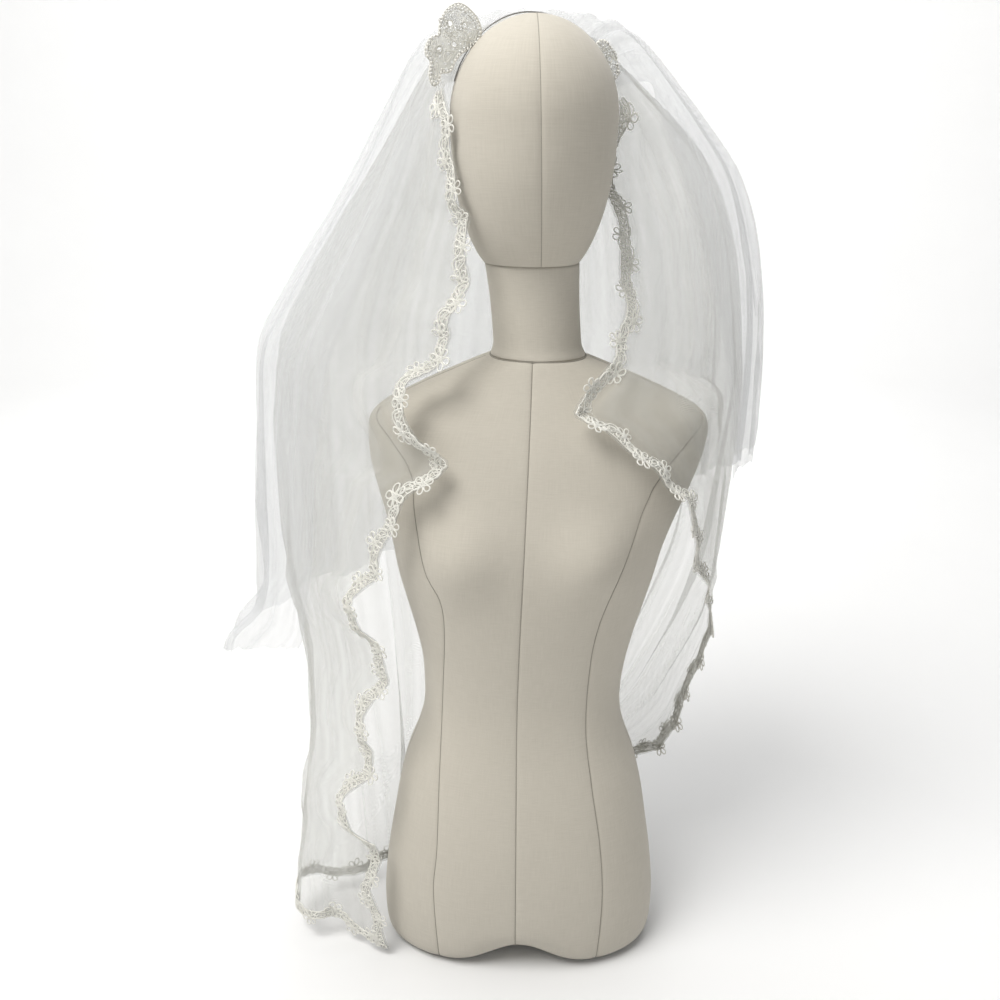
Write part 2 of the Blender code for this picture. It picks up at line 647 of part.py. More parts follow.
def edging(name, grid, edge, material):
    """The lace edging along one edge: rungs across the strip, on the tier's own facets."""
    normals = normals_of(grid)
    pairs = strip_cells(grid, edge)
    corners = []
    for outer, inner in pairs:
        corners.append([(grid[i][k], normals[i][k]) for i, k in (outer, inner)])
    low = WALL / 2 + SEAM_GAP
    high = low + EDGING
    step = EDGING_REPEAT / EDGING_STEPS
    rungs = []
    walk = 0.0
    for (a, d), (b, c) in zip(corners, corners[1:]):
        length = (b[0] - a[0]).length
        marks = [0.0]
        mark = math.ceil(walk / step + 0.25) * step - walk
        while mark < length - 0.25 * step:
            if mark > 0.25 * step:
                marks.append(mark)
            mark += step
        for mark in marks:
            rungs.append(rung((a, b, c, d), mark / length, walk + mark, low, high))
        walk += length
    rungs.append(rung((a, b, c, d), 1.0, walk, low, high))
    return ladder(name, rungs, edge != "right", material)


def rung(cell, f, walk, low, high):
    """The four corners of the edging's section at fraction f of a cell."""
    outer, inner = edging_outline(walk)
    return [on_cell(cell, w / EDGING_ROOM, f, height) for w in (outer, inner) for height in (low, high)]


def on_cell(cell, w, f, height):
    """Point of the cell (a, b on the edge; d, c inside), w in from the edge and f along, lifted."""
    a, b, c, d = [p + n * height for p, n in cell]
    return a.lerp(b, f).lerp(d.lerp(c, f), w)


def ladder(name, rungs, flip, material):
    """A closed strip through rungs of four points: outer low, outer high, inner low, inner high."""
    points = [point for corners in rungs for point in corners]
    faces = [(0, 1, 3, 2)]
    for base in range(0, 4 * (len(rungs) - 1), 4):
        for here, there in ((1, 0), (3, 1), (2, 3), (0, 2)):
            faces.append((base + here, base + there, base + there + 4, base + here + 4))
    end = len(points) - 4
    faces.append((end, end + 2, end + 3, end + 1))
    if flip:
        faces = [face[::-1] for face in faces]
    return solid(name, points, faces, material)


def hem_lift(across, z):
    """How far a row of the long tier is lifted where its hem is caught up."""
    rise = linear([lift.across for lift in HEM_LIFTS], [lift.rise for lift in HEM_LIFTS], across)
    return rise * (1 - smoothstep(LIFT_LOW, LIFT_HIGH, z))


def plain_height(across, share):
    """Height of the plain tier this share of the way down from its first level row to its hem."""
    hem = linear(KNOTS, PLAIN_HEM, across)
    return PLAIN_TOP + (hem - PLAIN_TOP) * share


# ---------------------------------------------------------------- build
def main():
    for old in list(bpy.data.objects):
        bpy.data.objects.remove(old)
    linen = finish("linen", (0.76, 0.70, 0.60), 0.85)
    tulle = finish("tulle", (0.92, 0.92, 0.90), 0.6)
    lace = finish("corded_lace", (0.93, 0.90, 0.80), 0.5)
    metal = finish("band_wire", (0.62, 0.60, 0.56), 0.3, 1.0)

    form_torso(linen)
    form_neck(linen)
    form_head(linen)
    headband(metal)

    standing_lace("motif_left", MOTIF_LEFT, MOTIF_LEFT_EYES, MOTIF_LEFT_SHIFT, lace)
    standing_lace("motif_right", MOTIF_RIGHT, MOTIF_RIGHT_EYES, MOTIF_RIGHT_SHIFT, lace)

    long_tier = Tier(LONG_PLANS, LONG_CREST, LONG_LEFT_EDGE, LONG_RIGHT_EDGE, LONG_LIFT)
    rows = [lambda across, z=z: z + hem_lift(across, z) for z in LONG_ROWS[1:]]
    grid = tier_grid(long_tier, rows, LONG_COLUMNS)
    wall("long_tier", grid, WALL, tulle)
    edging("trim_left", grid, "left", lace)
    edging("trim_hem", grid, "hem", lace)
    edging("trim_right", grid, "right", lace)

    plain_tier = Tier(PLAIN_PLANS, PLAIN_CREST, PLAIN_LEFT_EDGE, PLAIN_RIGHT_EDGE, PLAIN_LIFT)
    shares = [k / PLAIN_ROW_COUNT for k in range(1, PLAIN_ROW_COUNT + 1)]
    rows = [lambda across, share=share: plain_height(across, share) for share in shares]
    wall("plain_tier", tier_grid(plain_tier, rows, PLAIN_COLUMNS), WALL, tulle)


main()
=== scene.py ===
"""Looks of a two-tier bridal veil: sheer tulle, corded lace edging, a beaded headpiece, a linen form.

Lengths are in millimetres and go into meshes in metres.  The form faces -Y, +X is the viewer's right.
The tiers, the edging and the form's covers are drawn finer than the frame's solids, from the same sizes.
"""

import math
from collections import namedtuple

import bmesh
import bpy
import numpy as np
from mathutils import Matrix, Vector
from mathutils.bvhtree import BVHTree


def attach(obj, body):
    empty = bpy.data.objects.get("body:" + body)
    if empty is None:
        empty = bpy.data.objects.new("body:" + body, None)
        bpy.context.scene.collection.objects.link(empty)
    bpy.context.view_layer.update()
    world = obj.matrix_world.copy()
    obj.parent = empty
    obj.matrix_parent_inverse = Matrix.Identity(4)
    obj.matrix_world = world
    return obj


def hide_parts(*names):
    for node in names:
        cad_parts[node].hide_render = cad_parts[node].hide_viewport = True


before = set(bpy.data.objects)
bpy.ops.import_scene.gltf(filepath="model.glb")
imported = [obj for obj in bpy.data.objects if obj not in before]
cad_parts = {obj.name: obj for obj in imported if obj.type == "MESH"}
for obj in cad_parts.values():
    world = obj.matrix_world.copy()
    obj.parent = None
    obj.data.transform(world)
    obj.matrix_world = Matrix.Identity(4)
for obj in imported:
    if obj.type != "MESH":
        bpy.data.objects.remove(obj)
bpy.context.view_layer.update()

MM = 0.001

# ---------------------------------------------------------------- driving sizes, in millimetres
SEAM_GAP = 0.3          # clearance between neighbouring pieces
WALL = 1.2              # tulle tier, with the body that its gathers give it
EDGING_ROOM = 20.0      # width of the strip of tulle along an edge that carries the edging
BODY_CLEAR = 6.0        # from a tier to the torso and the neck
HEAD_CLEAR = 2.6        # from a tier to the head

HEAD_HALF = 80.0        # half width of the head at its widest
HEAD_FRONT = 95.0
HEAD_BACK = 100.0
HEAD_MID = 930.0        # height of the widest ring
HEAD_RISE = 90.0        # from there to the crown
SQUARENESS = 2.35       # power of the torso's rounded sections

BAND_WIRE = 0.9         # radius of the headband's wire
BAND_TURN = math.radians(20)    # the band's plane, turned so that its right end lies further back
BAND_SHIFT = 10.0       # the band's plane stands this far behind the middle of the head
BAND_WIDER = 1.015      # its half width, as a share of the head's
BAND_LEFT = math.radians(-74)   # ends of the band, from the crown down
BAND_RIGHT = math.radians(70)
BAND_ALONG = np.array([math.cos(BAND_TURN), math.sin(BAND_TURN), 0])
BAND_BACKWARD = np.array([-math.sin(BAND_TURN), math.cos(BAND_TURN), 0])

# ---------------------------------------------------------------- tables, in millimetres
Ring = namedtuple("Ring", "z half front back lean")

TORSO = [Ring(*row) for row in (
    (0, 147, 80, 96, 0), (5, 156, 90, 107, 0), (18, 161, 98, 115, 0), (60, 162, 102, 120, 0),
    (110, 157, 103, 122, 0), (160, 149, 100, 118, 0), (205, 141, 94, 110, 0), (240, 132, 88, 100, 0),
    (275, 119, 82, 90, 0), (305, 112, 79, 85, 0), (335, 111, 79, 84, 0), (370, 114, 83, 87, 1),
    (405, 121, 89, 93, 1), (440, 130, 95, 99, 1), (475, 139, 99, 104, 1), (505, 145, 100, 107, 2),
    (535, 153, 98, 108, 4), (565, 163, 93, 107, 6), (595, 172, 87, 103, 8), (620, 176, 80, 96, 10),
    (640, 175, 73, 88, 11), (652, 165, 68, 82, 12), (664, 143, 63, 76, 12), (678, 114, 57, 69, 11),
    (690, 86, 52, 61, 10), (700, 62, 48, 53, 9), (705, 49, 45, 47, 9),
)]
NECK = [Ring(*row) for row in (
    (705, 45, 43, 43, 9), (730, 44.5, 43, 43, 7), (765, 45, 44, 44, 4), (797, 47, 48, 46, 1),
)]
HEAD_LOW = [Ring(*row) for row in (
    (797, 47, 50, 48, 0), (806, 53.5, 57, 57, 0), (822, 61.5, 67, 69, 0), (845, 69.5, 78, 82, 0),
    (872, 75.5, 88, 93, 0), (900, 79, 93.5, 98.5, 0),
)]

BUST = namedtuple("Bust", "x z wide high rise")(70, 512, 40, 44, 17)
# Arch between the thigh lobes: it starts and is full this far in front of the middle
CLEFT = namedtuple("Cleft", "wide high rise start full")(48, 62, 21, 50, 90)

# Plan sections of a tier: z, then x and y at its left side, its back left, its back, its back right
# and its right side.  The two front edges have tables of their own.
LONG_PLANS = [
    (960, -112, 28, -94, 82, 0, 118, 84, 92, 112, 52), (900, -146, 34, -122, 110, 0, 146, 122, 114, 168, 48),
    (840, -184, 40, -150, 128, 0, 164, 150, 130, 198, 46),
    (780, -220, 44, -180, 142, 0, 178, 168, 142, 213, 44),
    (700, -262, 44, -208, 154, 0, 190, 180, 150, 222, 40),
    (620, -272, 40, -216, 160, -4, 198, 183, 154, 224, 36),
    (540, -274, 34, -216, 160, -8, 204, 180, 156, 220, 34),
    (460, -270, 28, -212, 156, -12, 208, 172, 156, 214, 36),
    (385, -256, 22, -204, 142, -18, 212, 150, 160, 206, 62),
    (300, -248, 14, -192, 122, -26, 215, 122, 172, 184, 98),
    (225, -253, 8, -182, 104, -40, 215, 92, 186, 158, 128),
    (160, -262, 2, -174, 90, -62, 208, 54, 200, 114, 160),
    (100, -270, -3, -169, 80, -88, 190, 10, 210, 56, 200),
    (50, -276, -6, -166, 76, -106, 174, -32, 210, 4, 212),
    (12, -279, -8, -165, 74, -116, 164, -62, 204, -38, 214),
]
PLAIN_PLANS = [
    (975, -122, 40, -98, 84, 0, 112, 100, 88, 134, 50), (927, -151, 46, -132, 116, 0, 146, 138, 122, 174, 54),
    (884, -175, 50, -154, 136, 0, 166, 164, 140, 207, 56),
    (841, -202, 52, -172, 148, 0, 180, 178, 150, 226, 56),
    (795, -233, 54, -196, 158, 0, 192, 190, 160, 238, 56),
    (746, -264, 54, -218, 168, 0, 204, 198, 168, 245, 54),
    (700, -290, 54, -234, 176, 0, 213, 204, 174, 248, 52),
    (620, -298, 52, -240, 184, -3, 222, 206, 180, 249, 52),
    (540, -301, 50, -242, 188, -6, 229, 205, 182, 246, 50),
    (450, -302, 48, -240, 190, -9, 235, 202, 184, 242, 50),
    (405, -308, 46, -242, 192, -10, 238, 202, 186, 242, 50),
    (370, -340, 44, -250, 194, -10, 240, 202, 186, 242, 50),
    (335, -352, 42, -256, 196, -10, 242, 202, 186, 242, 50),
]

# Crest of the cloth just behind the headband, from its left end to its right end: x, y, z
LONG_CREST = [
    (-84, -18, 955), (-97, 20, 979), (-60, 50, 1004), (0, 58, 1015), (50, 66, 1007), (78, 60, 986),
    (83, 47, 948),
]
PLAIN_CREST = [
    (-98, -12, 962), (-112, 34, 994), (-64, 60, 1017), (0, 68, 1021), (60, 76, 1023), (100, 66, 1008),
    (112, 44, 966),
]

# Front edges, a row for each turn of their cascading folds: z, x, y
LONG_LEFT_EDGE = [
    (955, -84, -20), (931, -78, -41), (903, -76, -44), (883, -70, -48), (855, -73, -50), (846, -57, -52),
    (812, -64, -56), (783, -56, -62), (748, -79, -68), (736, -74, -69), (708, -86, -72), (698, -93, -73),
    (691, -117, -74), (674, -123, -77), (656, -119, -82), (637, -107, -88), (617, -74, -94), (599, -88, -96),
    (592, -104, -96), (580, -120, -95), (547, -132, -92), (514, -148, -84), (486, -151, -80),
    (474, -166, -76), (457, -183, -74), (443, -176, -74), (424, -170, -73), (417, -156, -72),
    (397, -149, -72), (362, -142, -70), (345, -157, -68), (317, -173, -66), (290, -174, -66),
    (277, -162, -67), (242, -166, -68), (222, -192, -68), (211, -201, -68), (170, -190, -68),
    (154, -163, -70), (136, -156, -72), (96, -172, -72), (60, -160, -74), (33, -158, -74), (12, -152, -74),
]
LONG_RIGHT_EDGE = [
    (956, 84, 47), (931, 83, 49), (903, 73, 63), (881, 69, 61), (866, 72, 46), (853, 77, 24), (829, 87, 10),
    (786, 86, -8), (766, 93, -18), (750, 91, -30), (733, 83, -42), (713, 80, -58), (696, 63, -72),
    (671, 41, -86), (660, 40, -88), (649, 72, -92), (630, 91, -94), (612, 120, -92), (588, 135, -86),
    (577, 156, -77), (536, 169, -58), (514, 175, -48), (494, 176, -38), (475, 184, -28), (457, 199, -20),
    (436, 198, -10), (413, 209, 0), (384, 213, 10), (360, 209, 20), (331, 206, 30), (295, 197, 42),
    (264, 196, 52), (236, 193, 62), (212, 187, 72), (185, 178, 84), (163, 158, 104), (136, 126, 142),
    (100, 90, 178), (60, 42, 204), (33, 8, 214), (12, -12, 218),
]
PLAIN_LEFT_EDGE = [
    (962, -99, -12), (900, -116, -24), (840, -140, -34), (780, -165, -44), (700, -198, -54), (600, -214, -60),
    (500, -220, -60), (400, -238, -52), (360, -262, -40),
]
PLAIN_RIGHT_EDGE = [
    (966, 112, 44), (900, 138, 12), (840, 158, -8), (780, 176, -22), (700, 196, -34), (620, 208, -38),
    (560, 212, -36),
]
# How low the plain tier's raw hem hangs, from its left front edge to its right front edge
PLAIN_HEM = (392, 342, 372, 430, 512, 598, 586)

# Rows of each wall below its crest: one at each turn of a front edge that shows as a fold
LONG_ROWS = (
    955, 931, 903, 883, 855, 846, 812, 783, 748, 708, 691, 674, 637, 617, 599, 580, 547, 514,
    486, 457, 424, 397, 362, 317, 290, 277, 242, 211, 170, 154, 136, 96, 60, 33, 12,
)
PLAIN_TOP = 975
PLAIN_ROW_COUNT = 13
LONG_LIFT = 1.2         # each tier's gathers above the head
PLAIN_LIFT = 3.6
EDGING_MOST = 0.12      # most of a short row that an edging's strip takes

# Folds of a tier: how many, how high at the gathers and at the hem, and the most for their width;
# two slow waves round the tier thin them and move them sideways, so that no two are alike.
Folds = namedtuple("Folds", "count top bottom slope thin thin_waves aside aside_waves")
FOLDS = Folds(
    count=11, top=2.0, bottom=13.0, slope=0.14, thin=0.5, thin_waves=3.4, aside=0.018, aside_waves=2.3
)
# Small ones: gathers that fade below the band, and pleats that grow between the folds
Small = namedtuple("Small", "count high fade")
GATHERS, PLEATS = Small(47, 0.9, 0.1), Small(31, 1.3, 0.4)
# Streaks of denser net down the cloth: their share, how many, shift on the way down, start and bend
STREAKS = ((0.22, 61, 0, 0, 3), (0.16, 23.7, 2.2, 0, 0), (0.14, 9.1, -4, 0, 0), (0.12, 5, 9, 1, 0))
FOLD_DEEPENING = 0.8    # power by which the folds deepen on the way down
CALM_LEFT = 0.12        # share of a row over which the folds die away towards each front edge
CALM_RIGHT = 0.16
CALM_LEAST = 0.2
# How far the long tier's hem is caught up near its left end: across, rise; and the heights over which
# that fades
HEM_LIFTS = [
    (0, 0), (0.04, 5), (0.075, 18), (0.11, 16), (0.15, 25), (0.19, 27), (0.25, 14), (0.33, 4), (0.42, 0),
    (1, 0),
]
LIFT_FADE = (30, 110)

# Standing lace of the headpiece, in the band's own plane: out from the middle, and height
MOTIF_LEFT = [
    (-76, 1025), (-84, 1022), (-90, 1016), (-94, 1007), (-95, 999), (-102, 996), (-107, 988), (-107, 981),
    (-103, 976), (-104, 964), (-101, 956), (-96, 957), (-93, 966), (-84, 968), (-79, 977), (-72, 984.5),
    (-64, 989.2), (-57, 995.4), (-54, 1003), (-57, 1012), (-62, 1018), (-69, 1023),
]
MOTIF_LEFT_EYES = [(-84, 1008), (-70, 1007), (-94, 986), (-80, 991)]
MOTIF_RIGHT = [
    (60, 990), (66, 982), (71, 973), (75, 964), (80, 964), (86, 974), (84, 982), (82, 990), (76, 996),
    (70, 1001), (63, 1000),
]
MOTIF_RIGHT_EYES = [(76, 985)]
MOTIF_THICK = 2.0
MOTIF_LEFT_SHIFT = 5.5  # the band at each motif stands this far behind the middle of the head
MOTIF_RIGHT_SHIFT = 6.4
EYE_RADIUS = 2.4
PLATE_THICK = 0.7       # net ground of a motif, as drawn
MOTIF_TRIES = 5000      # places tried for a motif's beads
ASIDE = 0.02            # step to each side over which a row's local length is measured
ROW_TRIES = 61          # points at which a row's length is measured
KNOTS = (0.0, 0.16, 0.33, 0.5, 0.67, 0.84, 1.0)     # where a section's seven points lie round it


# ---------------------------------------------------------------- sizes of what is drawn finer here
NET = 0.5               # thickness of a tier's drawn shell
THREAD_THROUGH = 0.5    # share of the light from behind that a sheer cloth's thread lets through
TOP_ROWS = 24           # rows over the gathers, from the band to the first level row
STRIP_COLUMNS = 4       # columns within the edging's strip
LACE_LIFT = 0.5         # from a tier's middle to the underside of its edging
CORD = 0.7              # radius of the edging's cords
FLOWER_STEP = 28.0      # from one flower of the edging to the next, on alternate sides
EDGING_MIDDLE = 6.8     # from the tulle's edge to the middle of the edging
FLOWER_SIDE = 5.0       # how far a flower stands to either side of it
EDGING_HALF = 4.7       # from there to each of its two cords
LINK_STEP = 5.6         # from one loop of the edging's chain to the next
PETALS = 6
SEAM_DEEP = 0.65        # groove of a sewn seam in the linen
COLUMN_FRACTIONS = (
    0, 0.012, 0.03, 0.07, 0.13, 0.2, 0.27, 0.34, 0.42, 0.5, 0.58, 0.66, 0.73, 0.8, 0.87, 0.93, 0.97, 0.988,
)
SEED = 7
TORSO_CLOTH = 0.15      # metres of the linen's pattern for a radian round the torso
NECK_CLOTH, HEAD_CLOTH = 0.09, 0.08
TULLE_CLOTH = 1.6       # metres of the tulle's pattern across a tier
# The tulles: rows and columns of the drawn grid, cover where it is thin, dark and light colour. Both tiers
# are one net: the long tier's colours are darker and greyer, partly a greyer tone and partly painted shade,
# and the plain tier's are lighter as painted light
TULLES = {
    "long": (154, 210, 0.225, (0.72, 0.725, 0.695), (0.81, 0.815, 0.785)),
    "plain": (104, 190, 0.205, (0.75, 0.76, 0.77), (0.84, 0.85, 0.86)),
}
COVER_SWING = 0.08      # how much the streaks add to that cover or take from it
MESH_SWING = 0.04       # and the net's mesh

# Seams of the torso's cover where they aren't straight: height, and how far to the right
FRONT_SEAM = [(0, -4), (60, -5), (286, -7), (359, -7), (473, -5), (705, 2)]
PRINCESS_RIGHT = [
    (0, 91), (99, 94), (166, 89), (242, 77), (305, 69), (392, 70), (434, 75), (480, 87), (534, 106),
    (588, 122),
]
PRINCESS_LEFT = [
    (0, -93), (108, -99), (157, -95), (253, -92), (352, -88), (428, -85), (467, -89), (495, -103),
    (540, -112), (588, -118),
]
# Their upper parts, as heights and degrees from the side seams
PRINCESS_REACH = [(583, 30.5), (607, 25), (631, 16), (648, 6), (655, 3), (705, 14)]
PRINCESS_BEND = (556, 606)      # where they pass from one table to the other
PRINCESS_TOP = 655      # the shoulder's tip, where they end
STRAIGHT_SEAMS = (0, 52, 90, 128, 180)  # the other seams, as degrees from the right side seam
PRINCESS_SEAMS = (1, 7)         # their numbers among all the seams, from the front one on
PANEL_WIDE = 110        # a panel of the cover between two seams, about
SEAM_FADE = 6           # over which a seam ends at its top
THREAD = 0.5            # radius of the seams' threads
HEAD_SEAMS = (math.pi / 2, 3 * math.pi / 2)
HEAD_SEAM_LEAN = 0.038  # how far the front one leans to the right on its way down
TORSO_LEAN = [ring.z for ring in TORSO], [ring.lean for ring in TORSO]

# The headpiece's two motifs: lace flowers and scrolls on them, and where the beads lie closer
MOTIFS = {
    "left": dict(
        outline=MOTIF_LEFT, eyes=MOTIF_LEFT_EYES, shift=MOTIF_LEFT_SHIFT, dense_above=1003, seed=47,
        flowers=[(-99, 985), (-84, 999), (-68, 995)],
        scrolls=[(-98, 967), (-86, 981), (-73, 1006), (-90, 1008)],
    ),
    "right": dict(
        outline=MOTIF_RIGHT, eyes=MOTIF_RIGHT_EYES, shift=MOTIF_RIGHT_SHIFT, dense_above=970, seed=57,
        flowers=[(70, 993)], scrolls=[(80, 972)],
    ),
}

# Creases put into the tulle: their middle, half length down, lean, depth and half width
Crease = namedtuple("Crease", "across down long lean deep wide")
LONG_CREASES = [Crease(*row) for row in (
    (0.06, 0.62, 0.10, 0.10, 4.0, 0.010), (0.11, 0.40, 0.16, -0.12, -3.5, 0.012),
    (0.16, 0.75, 0.13, 0.06, 5.0, 0.014), (0.22, 0.55, 0.18, 0.09, -4.0, 0.011),
    (0.33, 0.66, 0.15, -0.05, 4.5, 0.013), (0.45, 0.48, 0.20, 0.07, -4.0, 0.012),
    (0.57, 0.70, 0.14, -0.08, 5.0, 0.015), (0.68, 0.52, 0.17, 0.10, 3.5, 0.011),
    (0.79, 0.60, 0.12, -0.10, -4.5, 0.012), (0.88, 0.44, 0.15, 0.12, 4.0, 0.010),
    (0.94, 0.66, 0.10, -0.07, -3.0, 0.010),
)]
PLAIN_CREASES = [Crease(*row) for row in (
    (0.05, 0.45, 0.15, 0.16, 4.0, 0.012), (0.12, 0.62, 0.20, 0.10, -5.0, 0.014),
    (0.19, 0.80, 0.12, -0.25, 5.5, 0.012), (0.26, 0.58, 0.22, -0.08, 4.0, 0.013),
    (0.38, 0.72, 0.16, 0.06, -4.5, 0.012), (0.50, 0.50, 0.20, -0.06, 5.0, 0.014),
    (0.61, 0.66, 0.15, 0.09, -4.0, 0.012), (0.72, 0.78, 0.12, -0.12, 5.0, 0.013),
    (0.81, 0.52, 0.18, 0.10, -4.5, 0.011), (0.89, 0.70, 0.15, 0.18, 4.5, 0.012),
    (0.95, 0.42, 0.14, -0.14, 3.5, 0.010),
)]


# ---------------------------------------------------------------- studio, in metres
LENS = 36.0             # the camera's lens in millimetres, and its sensor's width
CAMERA_AT = (-0.028, -1.014, 0.898)
CAMERA_TILT, CAMERA_TURN = math.radians(70.9), math.radians(0.68)
# Lamps: name, place, what it is aimed at, size, watts and colour
LAMPS = (
    ("key", (-1.45, -1.3, 3.6), (0, 0, 0.5), 2.0, 116, (1.0, 0.99, 0.975)),
    ("overhead", (0.0, 1.2, 4.2), (0, 0.8, 0), 4.0, 80, (1.0, 1.0, 1.0)),
    ("backdrop", (0.0, 2.2, 2.9), (0, 5.0, 1.2), 2.0, 50, (1.0, 1.0, 1.0)),
)
SKY_COLOUR, SKY_STRENGTH = (0.97, 0.98, 1.0, 1), 0.18
FLOOR, WALL_AT, WALL_TOP = 3.4, 5.0, 4.5    # the floor's radius, the wall's, and its height
BEND_WIDE = 1.6         # of the rounding between them


# ---------------------------------------------------------------- curves through tables
def through(knots, values, at):
    """Smooth curve through values[k] at knots[k], read at each of `at`; values[k] may differ for each."""
    knots = np.array(knots, float)
    count = len(knots)
    values = np.broadcast_to(values, (count, len(at), np.shape(values)[-1]))
    low = np.maximum(np.arange(count) - 1, 0)
    high = np.minimum(np.arange(count) + 1, count - 1)
    slopes = (values[high] - values[low]) / (knots[high] - knots[low])[:, None, None]
    at = np.clip(at, knots[0], knots[-1])
    i = np.clip(np.searchsorted(knots, at, side="right") - 1, 0, count - 2)
    each = np.arange(len(at))
    span = (knots[i + 1] - knots[i])[:, None]
    f = (at - knots[i])[:, None] / span
    return (
        (2 * f**3 - 3 * f**2 + 1) * values[i, each] + (f**3 - 2 * f**2 + f) * span * slopes[i, each]
        + (3 * f**2 - 2 * f**3) * values[i + 1, each] + (f**3 - f**2) * span * slopes[i + 1, each]
    )


def rising(rows):
    """A table's first column, and its other columns, as arrays in rising order."""
    table = np.array(sorted(rows), float)
    return table[:, 0], table[:, 1:]


def ring_at(rows, z):
    """The columns half, front, back and lean of a table of rings at each height."""
    knots, columns = rising(rows)
    return through(knots, columns[:, None, :], z).T


def turns_of(count):
    """Turns of `count` points spread evenly round a circle."""
    return 2 * np.pi * np.arange(count) / count


def circle(radius, height, count):
    """Points evenly round a level circle."""
    turns = turns_of(count)
    return np.stack([radius * np.cos(turns), radius * np.sin(turns), height + 0 * turns], -1)


def walked(path):
    """How far along a line each of its points lies."""
    return np.concatenate([[0], np.linalg.norm(np.diff(path, axis=0), axis=1).cumsum()])


def smoothstep(low, high, at):
    f = np.clip((at - low) / (high - low), 0.0, 1.0)
    return f * f * (3 - 2 * f)


def unit(vectors):
    return vectors / np.maximum(np.linalg.norm(vectors, axis=-1, keepdims=True), 1e-9)


def outward(grid):
    """Outward unit normals of a grid whose columns run anticlockwise round the back."""
    return unit(np.cross(np.gradient(grid, axis=1), np.gradient(grid, axis=0)))


# ---------------------------------------------------------------- meshes
def put(name, data):
    """An object in the scene."""
    made = bpy.data.objects.new(name, data)
    bpy.context.scene.collection.objects.link(made)
    return made


def piece(name, points, faces, material, uv=None):
    """A mesh object from points in millimetres, with its place in its mesh."""
    mesh = bpy.data.meshes.new(name)
    mesh.from_pydata((np.asarray(points) * MM).tolist(), [], [tuple(face) for face in faces])
    mesh.shade_smooth()
    if uv is not None:
        corners = np.empty(len(mesh.loops), int)
        mesh.loops.foreach_get("vertex_index", corners)
        mesh.uv_layers.new(name="cloth").data.foreach_set("uv", np.asarray(uv)[corners].ravel())
    mesh.materials.append(material)
    return put(name, mesh)


def points_of(mesh):
    """A mesh's points, in millimetres."""
    where = np.empty(len(mesh.vertices) * 3)
    mesh.vertices.foreach_get("co", where)
    return where.reshape(-1, 3) / MM


def taken(bm):
    """Points and faces of a bmesh, which is freed."""
    bm.verts.index_update()
    points = np.array([v.co[:] for v in bm.verts])
    faces = [tuple(v.index for v in face.verts) for face in bm.faces]
    bm.free()
    return points, faces


def quads(index, after, reverse=False):
    """Faces between each row of point numbers and the next, where `after` has each point's neighbour."""
    corners = [index[:-1], after[:-1], after[1:], index[1:]]
    if reverse:
        corners = corners[:1] + corners[:0:-1]
    return np.stack(corners, -1).reshape(-1, 4)


def shell(name, grid, thickness, material, uv):
    """A closed thin shell on a grid of points."""
    rows, count = grid.shape[:2]
    lift = outward(grid) * thickness / 2
    far = rows * count
    index = np.arange(far).reshape(rows, count)
    front = quads(index[:, :-1], index[:, 1:])
    rim = np.concatenate([index[0], index[1:, -1], index[-1, -2::-1], index[-2:0:-1, 0]])
    after = np.roll(rim, -1)
    sides = np.stack([after, rim, far + rim, far + after], -1)
    faces = np.vstack([front, far + front[:, ::-1], sides]).tolist()
    points = np.vstack([(grid + lift).reshape(-1, 3), (grid - lift).reshape(-1, 3)])
    return piece(name, points, faces, material, np.vstack([uv.reshape(-1, 2)] * 2))


def lofted(rings, low, high):
    """Points and faces of closed rings, upwards and anticlockwise from above, closed at two middles."""
    count = len(rings[0])
    points = np.vstack([*rings, low, high])
    index = np.arange(len(rings) * count).reshape(-1, count)
    after = np.roll(index, -1, axis=1)
    last = len(points) - 1
    caps = [(last - 1, after[0, k], index[0, k]) for k in range(count)]
    caps += [(last, index[-1, k], after[-1, k]) for k in range(count)]
    return points, quads(index, after).tolist() + caps


def cord(path, radius, closed, up=(0, 0, 1), sides=5, high=None):
    """Points and faces of a cord along a path, round unless its half height `high` is given too."""
    path = np.asarray(path, float)
    count = len(path)
    ahead = unit(np.roll(path, -1, 0) - np.roll(path, 1, 0) if closed else np.gradient(path, axis=0))
    side = unit(np.cross(ahead, np.asarray(up, float)))
    over = np.cross(side, ahead)
    turn = turns_of(sides)[:, None]
    ring = radius * np.cos(turn) * side[:, None] + (high or radius) * np.sin(turn) * over[:, None]
    index = np.arange(count * sides).reshape(count, sides)
    rows = index[[*range(count), 0]] if closed else index
    faces = quads(rows, np.roll(rows, -1, 1), reverse=True).tolist()
    if not closed:
        faces += [index[0].tolist(), index[-1, ::-1].tolist()]
    return (path[:, None] + ring).reshape(-1, 3), faces


def together(parts):
    """Several (points, faces) as one."""
    points, faces, start = [], [], 0
    for some, joined_by in parts:
        points.append(some)
        faces += [tuple(start + k for k in face) for face in joined_by]
        start += len(some)
    return np.vstack(points), faces


# ---------------------------------------------------------------- geometry node trees
class Nodes:
    """Adds nodes to a node tree and wires them."""

    def __init__(self, tree):
        self.tree = tree

    def node(self, kind, wires=(), **settings):
        """A node with its inputs wired: pairs of input name or number, and a socket or a value."""
        made = self.tree.nodes.new(kind)
        for key, value in settings.items():
            setattr(made, key, value)
        for label, source in wires:
            self.wire(source, made.inputs[label])
        return made

    def wire(self, source, socket):
        if isinstance(source, bpy.types.NodeSocket):
            self.tree.links.new(source, socket)
        else:
            socket.default_value = source


